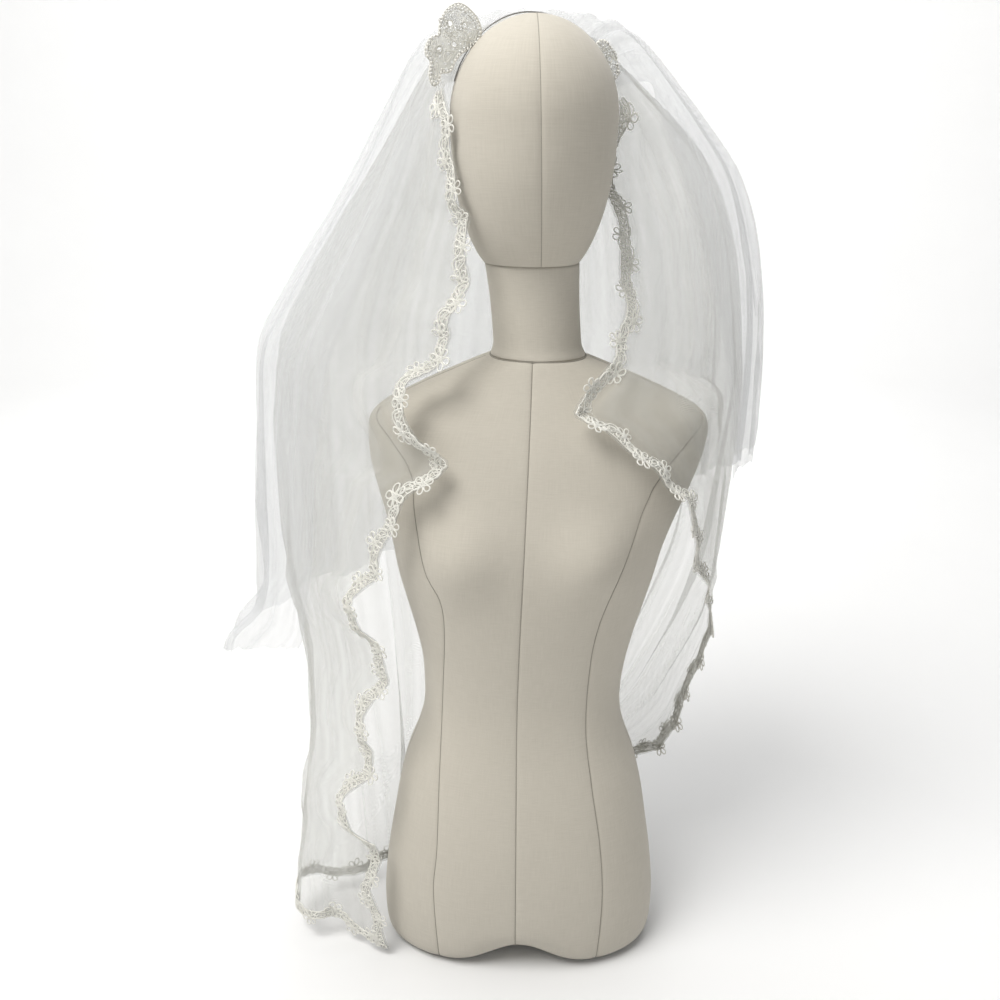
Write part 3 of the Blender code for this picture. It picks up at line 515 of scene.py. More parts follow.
class Tree(Nodes):
    """A geometry node tree with named inputs, ending in Realize Instances and Set Material."""

    def __init__(self, name, **inputs):
        super().__init__(bpy.data.node_groups.new(name, "GeometryNodeTree"))
        sockets = self.tree.interface
        sockets.new_socket("Geometry", in_out="INPUT", socket_type="NodeSocketGeometry")
        self.names = {}
        for label, kind in {**inputs, "Material": "Material"}.items():
            socket = sockets.new_socket(label, in_out="INPUT", socket_type="NodeSocket" + kind)
            self.names[label] = socket.identifier
        sockets.new_socket("Geometry", in_out="OUTPUT", socket_type="NodeSocketGeometry")
        self.start = self.tree.nodes.new("NodeGroupInput")

    def input(self, label):
        return self.start.outputs[label]

    def facing(self, out, along):
        """A rotation that turns Z to `out` and X to `along`."""
        return self.node("FunctionNodeAxesToRotation", [("Primary Axis", out), ("Secondary Axis", along)],
                         primary_axis="Z", secondary_axis="X").outputs[0]

    def chance(self, least, most):
        return self.node("FunctionNodeRandomValue", [(2, least), (3, most), ("Seed", self.input("Seed"))],
                         data_type="FLOAT").outputs[1]

    def finish(self, *wires):
        """Ends the tree with instances, wired as given, which become real and get the material."""
        placed = self.node("GeometryNodeInstanceOnPoints", wires)
        real = self.node("GeometryNodeRealizeInstances", [("Geometry", placed.outputs[0])])
        painted = self.node("GeometryNodeSetMaterial", [
            ("Geometry", real.outputs[0]), ("Material", self.input("Material")),
        ])
        self.wire(painted.outputs[0], self.tree.nodes.new("NodeGroupOutput").inputs["Geometry"])
        return self

    def grow(self, name, source, **values):
        """The tree's result on a source mesh, as a plain mesh object in place of the source."""
        modifier = source.modifiers.new("grow", "NODES")
        modifier.node_group = self.tree
        for label, value in values.items():
            modifier[self.names[label]] = value
        bpy.context.view_layer.update()
        graph = bpy.context.evaluated_depsgraph_get()
        result = bpy.data.meshes.new_from_object(source.evaluated_get(graph))
        source.modifiers.remove(modifier)
        bpy.data.objects.remove(source)
        result.name = name
        return put(name, result)


def sewn_on_tree():
    """Sets a shape on points, facing as their `along` and `out` say, turned and sized unevenly."""
    tree = Tree("sewn_on", Shape="Object", Turn="Float", Smallest="Float", Largest="Float", Seed="Int")
    shape = tree.node("GeometryNodeObjectInfo", [("Object", tree.input("Shape"))])
    along, out = (
        tree.node("GeometryNodeInputNamedAttribute", [("Name", name)], data_type="FLOAT_VECTOR").outputs[0]
        for name in ("along", "out")
    )
    least = tree.node("ShaderNodeMath", [(0, tree.input("Turn")), (1, -1.0)], operation="MULTIPLY")
    spin = tree.node("FunctionNodeAxisAngleToRotation", [
        ("Angle", tree.chance(least.outputs[0], tree.input("Turn"))),
    ])
    turned = tree.node("FunctionNodeRotateRotation", [(0, tree.facing(out, along)), (1, spin.outputs[0])],
                       rotation_space="LOCAL")
    return tree.finish(
        ("Points", tree.input("Geometry")), ("Instance", shape.outputs["Geometry"]),
        ("Rotation", turned.outputs[0]),
        ("Scale", tree.chance(tree.input("Smallest"), tree.input("Largest"))),
    )


def petal_ring_tree():
    """Sets one petal round a circle, as many times as Petals says."""
    tree = Tree("petal_ring", Petals="Int", Ring="Float")
    circle = tree.node("GeometryNodeMeshCircle", [
        ("Vertices", tree.input("Petals")), ("Radius", tree.input("Ring")),
    ])
    turn = tree.facing((0.0, 0.0, 1.0), tree.node("GeometryNodeInputPosition").outputs[0])
    return tree.finish(
        ("Points", circle.outputs[0]), ("Instance", tree.input("Geometry")), ("Rotation", turn),
    )


def sites(name, places, alongs, outs):
    """Points with the directions that the sewn_on tree reads."""
    mesh = bpy.data.meshes.new(name)
    mesh.from_pydata((np.asarray(places) * MM).tolist(), [], [])
    for label, vectors in (("along", alongs), ("out", outs)):
        layer = mesh.attributes.new(label, "FLOAT_VECTOR", "POINT")
        layer.data.foreach_set("vector", np.asarray(vectors, np.float32).ravel())
    return put(name, mesh)


# ---------------------------------------------------------------- materials
class Finish(Nodes):
    """A material on a Principled shader, with a few helpers for its nodes."""

    def __init__(self, name, **values):
        self.material = bpy.data.materials.new(name)
        self.material.use_nodes = True
        super().__init__(self.material.node_tree)
        self.shader = self.tree.nodes["Principled BSDF"]
        for label, value in values.items():
            self.shader.inputs[label.replace("_", " ")].default_value = value

    def place(self, by_uv=False, scale=(1.0, 1.0, 1.0)):
        """Where the pattern lies: on the piece's own UV map, or in Object coordinates, in metres."""
        if by_uv:
            source = self.node("ShaderNodeUVMap", uv_map="cloth").outputs[0]
        else:
            source = self.node("ShaderNodeTexCoord").outputs["Object"]
        return self.node("ShaderNodeMapping", [("Vector", source), ("Scale", scale)]).outputs[0]

    def noise(self, where, scale, detail=2.0):
        wires = [("Vector", where), ("Scale", scale), ("Detail", detail)]
        return self.node("ShaderNodeTexNoise", wires).outputs[0]

    def mesh(self, where, scale):
        """The threads of a net or a cord, as slanting waves."""
        return self.node("ShaderNodeTexWave", [("Vector", where), ("Scale", scale)],
                         bands_direction="DIAGONAL").outputs["Fac"]

    def math(self, operation, a, b=0.0):
        return self.node("ShaderNodeMath", [(0, a), (1, b)], operation=operation).outputs[0]

    def mean(self, a, b, share):
        """Two values mixed, with `share` of the second."""
        return self.math("ADD", self.math("MULTIPLY", a, 1 - share), self.math("MULTIPLY", b, share))

    def span(self, source, low, high):
        """A 0..1 value stretched to low..high."""
        wires = [("Value", source), ("To Min", low), ("To Max", high)]
        return self.node("ShaderNodeMapRange", wires).outputs[0]

    def blend(self, share, dark, light):
        """Colour between two, which becomes the base colour."""
        colour = self.node("ShaderNodeMix", [("Factor", share), (6, (*dark, 1)), (7, (*light, 1))],
                           data_type="RGBA").outputs[2]
        self.set("Base Color", colour)
        return colour

    def bump(self, height, strength, distance):
        wires = [("Height", height), ("Strength", strength), ("Distance", distance)]
        self.set("Normal", self.node("ShaderNodeBump", wires).outputs[0])

    def set(self, label, source):
        self.wire(source, self.shader.inputs[label])


def sheer(cloth, cover, colour):
    """Makes a finish sheer: `cover` of it is thread, which lets half of the light from behind through."""
    back = cloth.node("ShaderNodeBsdfTranslucent", [("Color", colour)])
    thread = cloth.node("ShaderNodeMixShader", [
        (0, THREAD_THROUGH), (1, cloth.shader.outputs[0]), (2, back.outputs[0]),
    ])
    hole = cloth.node("ShaderNodeBsdfTransparent")
    whole = cloth.node("ShaderNodeMixShader", [(0, cover), (1, hole.outputs[0]), (2, thread.outputs[0])])
    cloth.wire(whole.outputs[0], cloth.tree.nodes["Material Output"].inputs["Surface"])


def tulle_finish(name, thin, dark, light):
    """Sheer net: its cover varies in long streaks down the cloth, kept on its points as `cover`."""
    tulle = Finish(name, Roughness=0.75, Sheen_Weight=0.2, Sheen_Roughness=0.5, Specular_IOR_Level=0.15)
    streak = tulle.node("ShaderNodeAttribute", attribute_name="cover").outputs["Fac"]
    net = tulle.span(tulle.mesh(tulle.place(by_uv=True), 330.0), -MESH_SWING, MESH_SWING)
    cover = tulle.math("ADD", tulle.span(streak, thin - COVER_SWING, thin + COVER_SWING), net)
    sheer(tulle, cover, tulle.blend(streak, dark, light))
    return tulle.material


def net_finish(name, least, most):
    """The lace's net ground, between its cords: least and most are how much of it is thread."""
    net = Finish(name, Roughness=0.6, Specular_IOR_Level=0.2)
    mesh = net.mesh(net.place(), 500.0)
    sheer(net, net.span(mesh, least, most), net.blend(mesh, (0.80, 0.79, 0.72), (0.92, 0.91, 0.85)))
    return net.material


def speckled(name, scale, dark, light, rough=None, **values):
    """A finish whose colour, and roughness where two are given, vary in fine specks."""
    made = Finish(name, **values)
    specks = made.noise(made.place(), scale)
    made.blend(specks, dark, light)
    if rough:
        made.set("Roughness", made.span(specks, *rough))
    return made


def bead_finish(name, scale, dark, light, rough, coat, coat_rough):
    return speckled(name, scale, dark, light, rough, Coat_Weight=coat, Coat_Roughness=coat_rough).material


def lace_finish():
    lace = speckled("corded_lace", 60.0, (0.80, 0.785, 0.715), (0.90, 0.89, 0.83), (0.42, 0.6),
                    Sheen_Weight=0.3, Sheen_Roughness=0.4)
    lace.bump(lace.mesh(lace.place(), 420.0), 0.5, 0.0003)
    return lace.material


def linen_finish():
    """Plain-woven ecru linen: slubbed threads both ways, and a little wear in its colour."""
    linen = Finish("linen", Sheen_Weight=0.15, Sheen_Roughness=0.6, Specular_IOR_Level=0.25)
    weft, warp = (
        linen.noise(linen.place(True, scale), 1.0, 3.0) for scale in ((45.0, 900.0, 1.0), (900.0, 45.0, 1.0))
    )
    threads = linen.mean(weft, warp, 0.5)
    wear = linen.noise(linen.place(), 9.0, 4.0)
    tone = linen.span(linen.mean(threads, wear, 0.25), -0.2, 1.2)
    linen.blend(tone, (0.475, 0.44, 0.37), (0.63, 0.59, 0.51))
    linen.set("Roughness", linen.span(wear, 0.8, 0.95))
    linen.bump(threads, 0.45, 0.0005)
    return linen.material


# ---------------------------------------------------------------- dress form
def rounded(ring, angle, power):
    """Points of rounded sections: ring is the columns half, front, back and lean, one a point."""
    half, front, back, lean = ring
    c, s = np.cos(angle), np.sin(angle)
    depth = np.where(s > 0, back, front)
    reach = (np.abs(c / half) ** power + np.abs(s / depth) ** power) ** (-1 / power)
    return lean + reach * c, reach * s


def bust_rise(x, y, z):
    """How far the bust stands forward of the plain section."""
    rise = sum(
        np.exp(-(((x - side * BUST.x) / BUST.wide) ** 2) - ((z - BUST.z) / BUST.high) ** 2)
        for side in (-1, 1)
    )
    return np.where(y > 0, 0.0, BUST.rise * rise * smoothstep(0, 60, -y))


def torso_points(angle, z, scale=1.0):
    """Points of the torso's cover, with the bust and the arch between the thigh lobes."""
    x, y = rounded(ring_at(TORSO, z), angle, SQUARENESS)
    x, y = x * scale, y * scale
    arch = np.exp(-((x / CLEFT.wide) ** 2)) * smoothstep(CLEFT.start, CLEFT.full, -y)
    lift = CLEFT.rise * arch * (1 - smoothstep(0, CLEFT.high, z))
    y = y + 0.5 * lift
    return np.stack([x, y - bust_rise(x, y, z), z + lift], -1)


def seam_angle(seam, z):
    """Turn round the torso at which a front seam lies at each height."""
    knots, across = rising(seam)
    wanted = through(knots, across[:, None, :], z)[:, 0]
    turns = np.radians(np.linspace(-179, -1, 179))
    found = []
    for level, x in zip(z, wanted):
        row = rounded(ring_at(TORSO, np.full(len(turns), level)), turns, SQUARENESS)[0]
        found.append(np.interp(x, row, turns))
    return np.array(found)


def princess_angle(seam, side, z):
    """Turn of a princess seam, which bends to the shoulder's tip at the top; side is 1 right, -1 left."""
    reach = np.radians(np.interp(z, *zip(*PRINCESS_REACH)))
    upper = -reach if side > 0 else reach - math.pi
    share = smoothstep(*PRINCESS_BEND, z)
    return seam_angle(seam, z) * (1 - share) + upper * share


def torso_columns(z):
    """Turn of each column of the torso's cover on each row, and how far along its panel it lies."""
    seams = [
        seam_angle(FRONT_SEAM, z), princess_angle(PRINCESS_RIGHT, 1, z),
        *(np.full(len(z), math.radians(turn)) for turn in STRAIGHT_SEAMS),
        2 * math.pi + princess_angle(PRINCESS_LEFT, -1, z),
    ]
    seams.append(seams[0] + 2 * math.pi)
    turns = [
        start + (end - start) * share for start, end in zip(seams, seams[1:]) for share in COLUMN_FRACTIONS
    ]
    return np.array(turns).T, np.tile(COLUMN_FRACTIONS, len(seams) - 1)


def sunk(off, width, pull, pull_width):
    """How deep a seam's groove and the pull of its stitches are at a distance from the seam."""
    return SEAM_DEEP * np.exp(-((off / width) ** 2)) + pull * np.exp(-((off / pull_width) ** 2))


def groove(shares, z):
    """How deep the seams' grooves and the pull beside them are, a column for each of torso_columns."""
    panel = np.arange(len(shares)) // len(COLUMN_FRACTIONS)
    seam = np.where(shares < 0.5, panel, panel + 1)
    top = np.where(np.isin(seam, PRINCESS_SEAMS), PRINCESS_TOP, TORSO[-1].z + SEAM_FADE)
    depth = sunk(np.minimum(shares, 1 - shares) * PANEL_WIDE, 1.1, 0.5, 7.0)
    return depth * (1 - smoothstep(top - SEAM_FADE, top, z[:, None]))


def torso_cover(linen):
    foot = [0, 1.2, 2.6, 5, 8.5, 13]
    z = np.concatenate([foot, np.arange(18, 640, 5.0), np.arange(640, 706, 3.0), [705.0]])
    turns, shares = torso_columns(z)
    levels = np.repeat(z[:, None], turns.shape[1], 1)
    grid = torso_points(turns.ravel(), levels.ravel()).reshape(*turns.shape, 3)
    out = outward(np.concatenate([grid, grid[:, :1]], 1))[:, :-1]
    grid = grid - out * groove(shares, z)[..., None]
    grid[0, :, 2] = torso_points(turns[0], levels[0])[:, 2]
    under = [torso_points(turns[0], levels[0], scale) for scale in (0.3, 0.6, 0.86)]
    points, faces = lofted([*under, *grid], (0, 0, 0), (TORSO[-1].lean, 0, TORSO[-1].z))
    around = np.concatenate([np.repeat(turns[:1], 3, 0), turns]).ravel() * TORSO_CLOTH
    uv = np.vstack([np.stack([around, points[:-2, 2] * MM], -1), [[0, 0], [0, 0.7]]])
    return piece("torso_cover", points, faces, linen, uv)


def neck_cover(linen):
    z = np.concatenate([NECK[0].z + SEAM_GAP + np.array([0, 1.5, 3, 5, 8, 12]), np.linspace(722, 796.7, 26)])
    return turned_cover("neck_cover", [neck_ring(level) for level in z], z[-1], NECK_CLOTH, linen)


def neck_ring(level):
    """Ring of the neck, spread at its foot to meet the torso's top."""
    half, front, back, lean = ring_at(NECK, np.array([level]))[:, 0]
    spread = 3.6 * (1 - smoothstep(0, 16, level - NECK[0].z)) ** 2
    return level, half + spread, front + spread * 0.5, back + spread, lean


def head_rows():
    """Rings of the head's cover, up to just under the crown."""
    low = np.concatenate([[797, 797.6, 799, 802], np.arange(806, 900, 5.0)])
    rings = [(z, *ring_at(HEAD_LOW, np.array([z]))[:, 0]) for z in low]
    for degrees in range(90, 1, -4):
        s, c = math.sin(math.radians(degrees)), math.cos(math.radians(degrees))
        rings.append((HEAD_MID + HEAD_RISE * c, HEAD_HALF * s, HEAD_FRONT * s, HEAD_BACK * s, 0))
    return rings


def seam_lean(level, front):
    """How far the head's front seam is turned aside at a height."""
    return HEAD_SEAM_LEAN * (HEAD_MID + HEAD_RISE - level) / front


def turned_cover(name, rings, top, around, linen, seams=()):
    """A cover on oval rings, with straight seams at the given turns; `around` is its UV map's scale."""
    turns = np.linspace(0, 2 * np.pi, 97)[:-1]
    for seam in seams:
        turns = np.append(turns, [seam - 0.014, seam, seam + 0.014])
    turns = np.unique(np.round(turns, 5))
    pull = 1.0
    if seams:
        pull = 1 - sunk(np.min([np.abs(turns - seam) for seam in seams], axis=0) * 85, 0.9, 0.4, 6.0) / 90
    loops = []
    for level, *ring in rings:
        x, y = rounded(ring, turns + (seam_lean(level, ring[1]) if seams else 0), 2.0)
        loops.append(np.stack([x * pull, y * pull, level + 0 * x], -1))
    low, high = rings[0], rings[-1]
    points, faces = lofted(loops, (low[-1], 0, low[0]), (high[-1], 0, top))
    flat = np.stack([np.tile(turns, len(rings)) * around, points[:-2, 2] * MM], -1)
    return piece(name, points, faces, linen, np.vstack([flat, [[0, 0.8], [0, 1.02]]]))


def head_cover(linen):
    return turned_cover("head_cover", head_rows(), HEAD_MID + HEAD_RISE, HEAD_CLOTH, linen, HEAD_SEAMS)


def neck_seam(thread):
    """The seam round the foot of the neck."""
    turns = np.linspace(0, 2 * np.pi, 97)[:-1]
    x, y = rounded(TORSO[-1][1:], turns, SQUARENESS)
    ring = cord(np.stack([x, y, TORSO[-1].z + 0.2 + 0 * x], -1), 0.45, True, sides=6)
    return piece("neck_seam", *ring, thread)


def seam_threads(thread):
    """A thread in the groove of each sewn seam of the torso and the head."""
    parts = []
    z = np.linspace(3, 703, 150)
    turns, shares = torso_columns(z)
    for k in np.flatnonzero(shares == 0):
        rows = z < (PRINCESS_TOP if k // len(COLUMN_FRACTIONS) in PRINCESS_SEAMS else TORSO[-1].z)
        path = torso_points(turns[rows, k], z[rows])
        middle = np.stack([np.interp(z[rows], *TORSO_LEAN), 0 * z[rows], z[rows]], -1)
        away = unit((path - middle) * [1, 1, 0])
        parts.append(cord(path - away * (SEAM_DEEP + 0.25), THREAD, False, up=(0.3, 0.2, 0.1)))
    for turn in HEAD_SEAMS:
        path = []
        for level, *ring in head_rows()[1:-1]:
            x, y = rounded(ring, turn + seam_lean(level, ring[1]), 2.0)
            path.append((x * 0.99, y * 0.9865, level))
        parts.append(cord(path, THREAD, False, up=(1, 0, 0)))
    return piece("seam_threads", *together(parts), thread)


# ---------------------------------------------------------------- headband and the tiers' sections
def band_points(angle, out):
    """Points of the band's arc over the head, `angle` from the crown, `out` above the head."""
    reach = (HEAD_HALF * BAND_WIDER + out) * np.sin(angle)
    x = math.cos(BAND_TURN) * reach
    y = math.sin(BAND_TURN) * reach + BAND_SHIFT * np.sqrt(np.cos(angle))
    depth = np.where(y > 0, HEAD_BACK, HEAD_FRONT)
    plan = (x / (HEAD_HALF + out)) ** 2 + (y / (depth + out)) ** 2
    return np.stack([x, y, HEAD_MID + (HEAD_RISE + out) * np.sqrt(np.maximum(1 - plan, 0.0))], -1)


def edge_at(turns, z):
    """Plan position of a front edge at each height: its turns, slightly rounded."""
    knots, columns = rising(turns)
    soft = 0.0
    for step, share in ((-4.0, 0.25), (0.0, 0.5), (4.0, 0.25)):
        soft = soft + share * np.stack([np.interp(z + step, knots, column) for column in columns.T], -1)
    return soft


class Tier:
    """The middle surface of one tier: `across` runs 0..1 from its left to its right front edge."""

    def __init__(self, plans, crest, left, right, lift, height, first_step, creases, cad_rows):
        self.knots, self.middle = rising(plans)
        self.crest, self.left, self.right, self.lift = crest, left, right, lift
        self.height, self.first_step, self.creases, self.cad_rows = height, first_step, creases, cad_rows

    def gather(self, across):
        angle = BAND_LEFT + (BAND_RIGHT - BAND_LEFT) * across
        behind = BAND_WIRE + SEAM_GAP + WALL / 2
        return band_points(angle, self.lift) + BAND_BACKWARD * behind

    def section(self, across, z):
        middle = through(self.knots, self.middle[:, None, :], z).reshape(-1, 5, 2)
        ends = edge_at(self.left, z), edge_at(self.right, z)
        values = np.stack([ends[0], *middle.transpose(1, 0, 2), ends[1]])
        return np.column_stack([through(KNOTS, values, across), z])

    def at(self, across, down):
        """Points at `down`: 0 at the gathers, 1 on the crest, 2 on the first level row, 3 at the hem."""
        share = np.clip(down - 2, 0, 1)
        below = self.section(across, self.height(across, share))
        crest = through(KNOTS, np.array(self.crest, float)[:, None, :], across)
        first = self.section(across, self.height(across, 0 * across))
        second = self.section(across, self.height(across, 0 * across + self.first_step))
        above = through((0, 1, 2, 3), np.stack([self.gather(across), crest, first, second]), down)
        return np.where((down < 2)[:, None], above, below)

    def drop(self, down):
        """Share of the way down that the folds grow by, as on the frame's solid."""
        return np.interp(down, *self.cad_rows)


def folded(tier, across, drop, stretch):
    """Heights and sideways shifts of the folds."""
    turn = 2 * np.pi * across
    depth = FOLDS.top + (FOLDS.bottom - FOLDS.top) * drop**FOLD_DEEPENING
    height = np.minimum(depth, FOLDS.slope * stretch / FOLDS.count)
    thinner = FOLDS.thin * (0.5 + 0.5 * np.sin(FOLDS.thin_waves * turn + 1.1 + 1.5 * drop))
    ends = smoothstep(0.0, CALM_LEFT, across) * smoothstep(0.0, CALM_RIGHT, 1 - across)
    calm = CALM_LEAST + (1 - CALM_LEAST) * ends
    aside = FOLDS.aside * np.sin(FOLDS.aside_waves * turn + 0.7)
    phase = FOLDS.count * (turn + 2 * np.pi * aside)
    height = height * (1 - thinner) * calm
    overhang = smoothstep(0.15, 0.6, drop) * ends * np.minimum(0.55 * height, 0.1 * stretch / FOLDS.count)
    rise = height * np.sin(phase)
    gathered = np.exp(-drop / GATHERS.fade) * smoothstep(0, 0.03, drop)
    rise = rise + GATHERS.high * gathered * np.sin(GATHERS.count * turn + 2 * np.sin(5 * turn))
    pleat = smoothstep(0.1, PLEATS.fade, drop) * ends * (0.6 + 0.4 * np.sin(4.3 * turn + 6 * drop))
    rise = rise + PLEATS.high * pleat * np.sin(PLEATS.count * turn + 2.5 * np.sin(3.1 * turn + 3 * drop))
    for crease in tier.creases:
        off = (across - crease.across - crease.lean * (drop - crease.down)) / crease.wide
        far = (drop - crease.down) / crease.long
        rise = rise + crease.deep * np.exp(-off**2) * np.exp(-far**2) * ends
    return rise, -overhang * np.sin(2 * phase)


def clear_of_form(points):
    """Points moved out where they are too near the form."""
    points = points.copy()
    x, y, z = points.T
    depth = np.where(y > 0, HEAD_BACK, HEAD_FRONT)
    up = np.maximum(z - HEAD_MID, 0)
    near = np.sqrt((x / HEAD_HALF) ** 2 + (y / depth) ** 2 + (up / HEAD_RISE) ** 2)
    least = 1 + HEAD_CLEAR / HEAD_HALF
    push = np.where((z > HEAD_MID) & (near < least), least / np.maximum(near, 0.2), 1.0)
    points[:, 0] *= push
    points[:, 1] *= push
    points[:, 2] = np.where(z > HEAD_MID, HEAD_MID + up * push, z)
    for rows, power, top in ((TORSO, SQUARENESS, 705), (NECK, 2.0, 797), (HEAD_LOW, 2.0, HEAD_MID)):
        for below in (0.0, 12.0, 24.0):
            x, y, z = points.T
            level = z - below
            half, front, back, lean = ring_at(rows, level)
            front = front + (bust_rise(x, y, level) if rows is TORSO else 0)
            depth = np.where(y > 0, back, front)
            reach = (np.abs((x - lean) / half) ** power + np.abs(y / depth) ** power) ** (1 / power)
            least = 1 + BODY_CLEAR / np.minimum(half, depth)
            inside = (level >= rows[0].z - 30) & (level <= top) & (reach < least)
            push = np.where(inside, least / np.maximum(reach, 0.2), 1.0)
            points[:, 0] = lean + (x - lean) * push
            points[:, 1] = y * push
    return points


def spread(tier, downs, count):
    """Where across each row its columns lie: evenly by length, and closer within the edging's strip."""
    tries = np.linspace(0, 1, ROW_TRIES)
    line = tier.at(np.tile(tries, len(downs)), np.repeat(downs, ROW_TRIES)).reshape(len(downs), ROW_TRIES, 3)
    strip = np.linspace(0, 1, STRIP_COLUMNS + 1)
    across = np.empty((len(downs), count))
    for i, row in enumerate(line):
        walk = walked(row)
        length = walk[-1]
        room = min(EDGING_ROOM, length * EDGING_MOST)
        inner = np.linspace(room, length - room, count - 2 * STRIP_COLUMNS)
        marks = np.concatenate([strip[:-1] * room, inner, length - room * strip[-2::-1]])
        across[i] = np.interp(marks, walk, tries)
    return across


def draped(tier, downs, count):
    """Grid of points on a tier with its folds, its cloth coordinates in metres, and its streaks."""
    rows = len(downs)
    across = spread(tier, downs, count)
    down = np.repeat(downs[:, None], count, 1)
    plain, *near = (
        tier.at(np.clip(across.ravel() + step, 0, 1), down.ravel()).reshape(rows, count, 3)
        for step in (0.0, -ASIDE, ASIDE)
    )
    drop = tier.drop(down)
    stretch = np.linalg.norm(near[1] - near[0], axis=2) / (2 * ASIDE)
    rise, shift = folded(tier, across, drop, stretch)
    start = smoothstep(0.0, 1.0, down)
    along = unit(np.gradient(plain, axis=1))
    grid = plain + outward(plain) * (rise * start)[..., None] + along * (shift * start)[..., None]
    grid = clear_of_form(grid.reshape(-1, 3)).reshape(rows, count, 3)
    lengths = np.linalg.norm(np.diff(grid, axis=0), axis=2)
    fallen = np.concatenate([np.zeros((1, count)), lengths.cumsum(0)], 0)
    turn = 2 * np.pi * across
    cover = 0.5
    for share, count_round, fall, ahead, bend in STREAKS:
        wave = count_round * turn + fall * drop + ahead + bend * np.sin(7 * turn + drop)
        cover = cover + share * np.sin(wave)
    return grid, np.stack([across * TULLE_CLOTH, fallen * MM], -1), np.clip(cover, 0, 1)


# ---------------------------------------------------------------- corded lace edging
def oval(long, wide, sides, turn=0.0, pinch=0.0):
    """A closed flat line round an oval, narrower at one end by `pinch`."""
    at = turns_of(sides)
    x, y = long * np.cos(at), wide * np.sin(at) * (1 + pinch * np.cos(at))
    c, s = math.cos(turn), math.sin(turn)
    return np.stack([c * x - s * y, s * x + c * y, 0 * x], -1)


def flower_shape(lace):
    """One flower: corded petal loops round a ring, lying flat."""
    petal = piece("petal", *cord(oval(3.9, 2.75, 12, pinch=0.25), CORD, True), lace)
    petals = petal_ring_tree().grow("flower_petals", petal, Petals=PETALS, Ring=6.6 * MM, Material=lace)
    hearts = [
        cord(oval(2.1, 2.1, 8) + [0, 0, 0.35], CORD, True), cord(oval(0.7, 0.7, 6) + [0, 0, 0.5], 0.55, True),
    ]
    return joined("flower", [petals, piece("flower_heart", *together(hearts), lace)])


def leaf_shape(lace):
    """One scroll: a curled leaf of two corded loops and a vein, lying flat."""
    run = np.linspace(0, 1, 13)
    loops = []
    for reach, wide, radius in ((8.8, 4.9, CORD), (5.2, 2.3, 0.55)):
        spine = np.stack([reach * (2 * run - 1) + 0.4, 3.0 * np.sin(2.6 * run + 0.1) - 1.9, 0 * run], -1)
        side = wide * np.sin(np.pi * run**0.75)[:, None] * np.array([[0.3, 1.0, 0.0]])
        loops.append(cord(np.vstack([spine + side, (spine - side)[-2:0:-1]]), radius, True))
    return piece("leaf", *together(loops), lace)


def link_shape(lace):
    """One loop of the chain between the edging's two cords."""
    return piece("link", *cord(oval(3.3, 2.5, 8, turn=0.6), 0.55, True, sides=4), lace)


def joined(name, objects):
    """Several mesh objects as one."""
    material = objects[0].data.materials[0]
    parts = [(points_of(some.data), [face.vertices[:] for face in some.data.polygons]) for some in objects]
    for some in objects:
        bpy.data.objects.remove(some)
    return piece(name, *together(parts), material)


class Edge:
    """The strip along one edge of a tier: places by distance along it, in from it, and off the cloth."""

    STEP = 2.5
    SIDE_STEP = 2.0
    SIDES = np.arange(-10.0, 24.1, SIDE_STEP)

    def __init__(self, path, inside, tree):
        walk = walked(path)
        self.length = walk[-1]
        self.marks = np.linspace(0, self.length, int(self.length / self.STEP) + 1)
        path, inside = (
            np.stack([np.interp(self.marks, walk, column) for column in line.T], -1)
            for line in (path, inside)
        )
        ahead = unit(soft(np.gradient(path, axis=0), 4))
        inward = soft(inside - path, 4)
        inward = unit(inward - (inward * ahead).sum(1, keepdims=True) * ahead)
        self.grid = np.empty((len(path), len(self.SIDES), 3))
        normals = np.empty_like(self.grid)
        for i, (start, way) in enumerate(zip(path, inward)):
            for k, side in enumerate(self.SIDES):
                wish = start + way * side
                spot, normals[i, k], _, _ = tree.find_nearest(Vector(wish))
                self.grid[i, k] = wish if side < 0 else spot
        outside = self.SIDES < 0
        first = int(np.argmax(~outside))
        normals[:, outside] = normals[:, first:first + 1]
        self.normals = unit(soft(normals, 2))

    def bend(self, flat):
        """Flat points (along, in, off the cloth) on the strip."""
        i = np.clip(flat[:, 0] / self.length * (len(self.marks) - 1), 0, len(self.marks) - 1.001)
        k = np.clip((flat[:, 1] - self.SIDES[0]) / self.SIDE_STEP, 0, len(self.SIDES) - 1.001)
        low_i, low_k = i.astype(int), k.astype(int)
        f, g = (i - low_i)[:, None], (k - low_k)[:, None]

        def read(values):
            here, there = (
                values[row, low_k] * (1 - g) + values[row, low_k + 1] * g for row in (low_i, low_i + 1)
            )
            return here * (1 - f) + there * f

        return read(self.grid) + unit(read(self.normals)) * flat[:, 2:]


def soft(values, times):
    """Values averaged with their neighbours along the first axis."""
    for _ in range(times):
        padded = np.concatenate([values[:1], values, values[-1:]])
        values = 0.25 * padded[:-2] + 0.5 * padded[1:-1] + 0.25 * padded[2:]
    return values


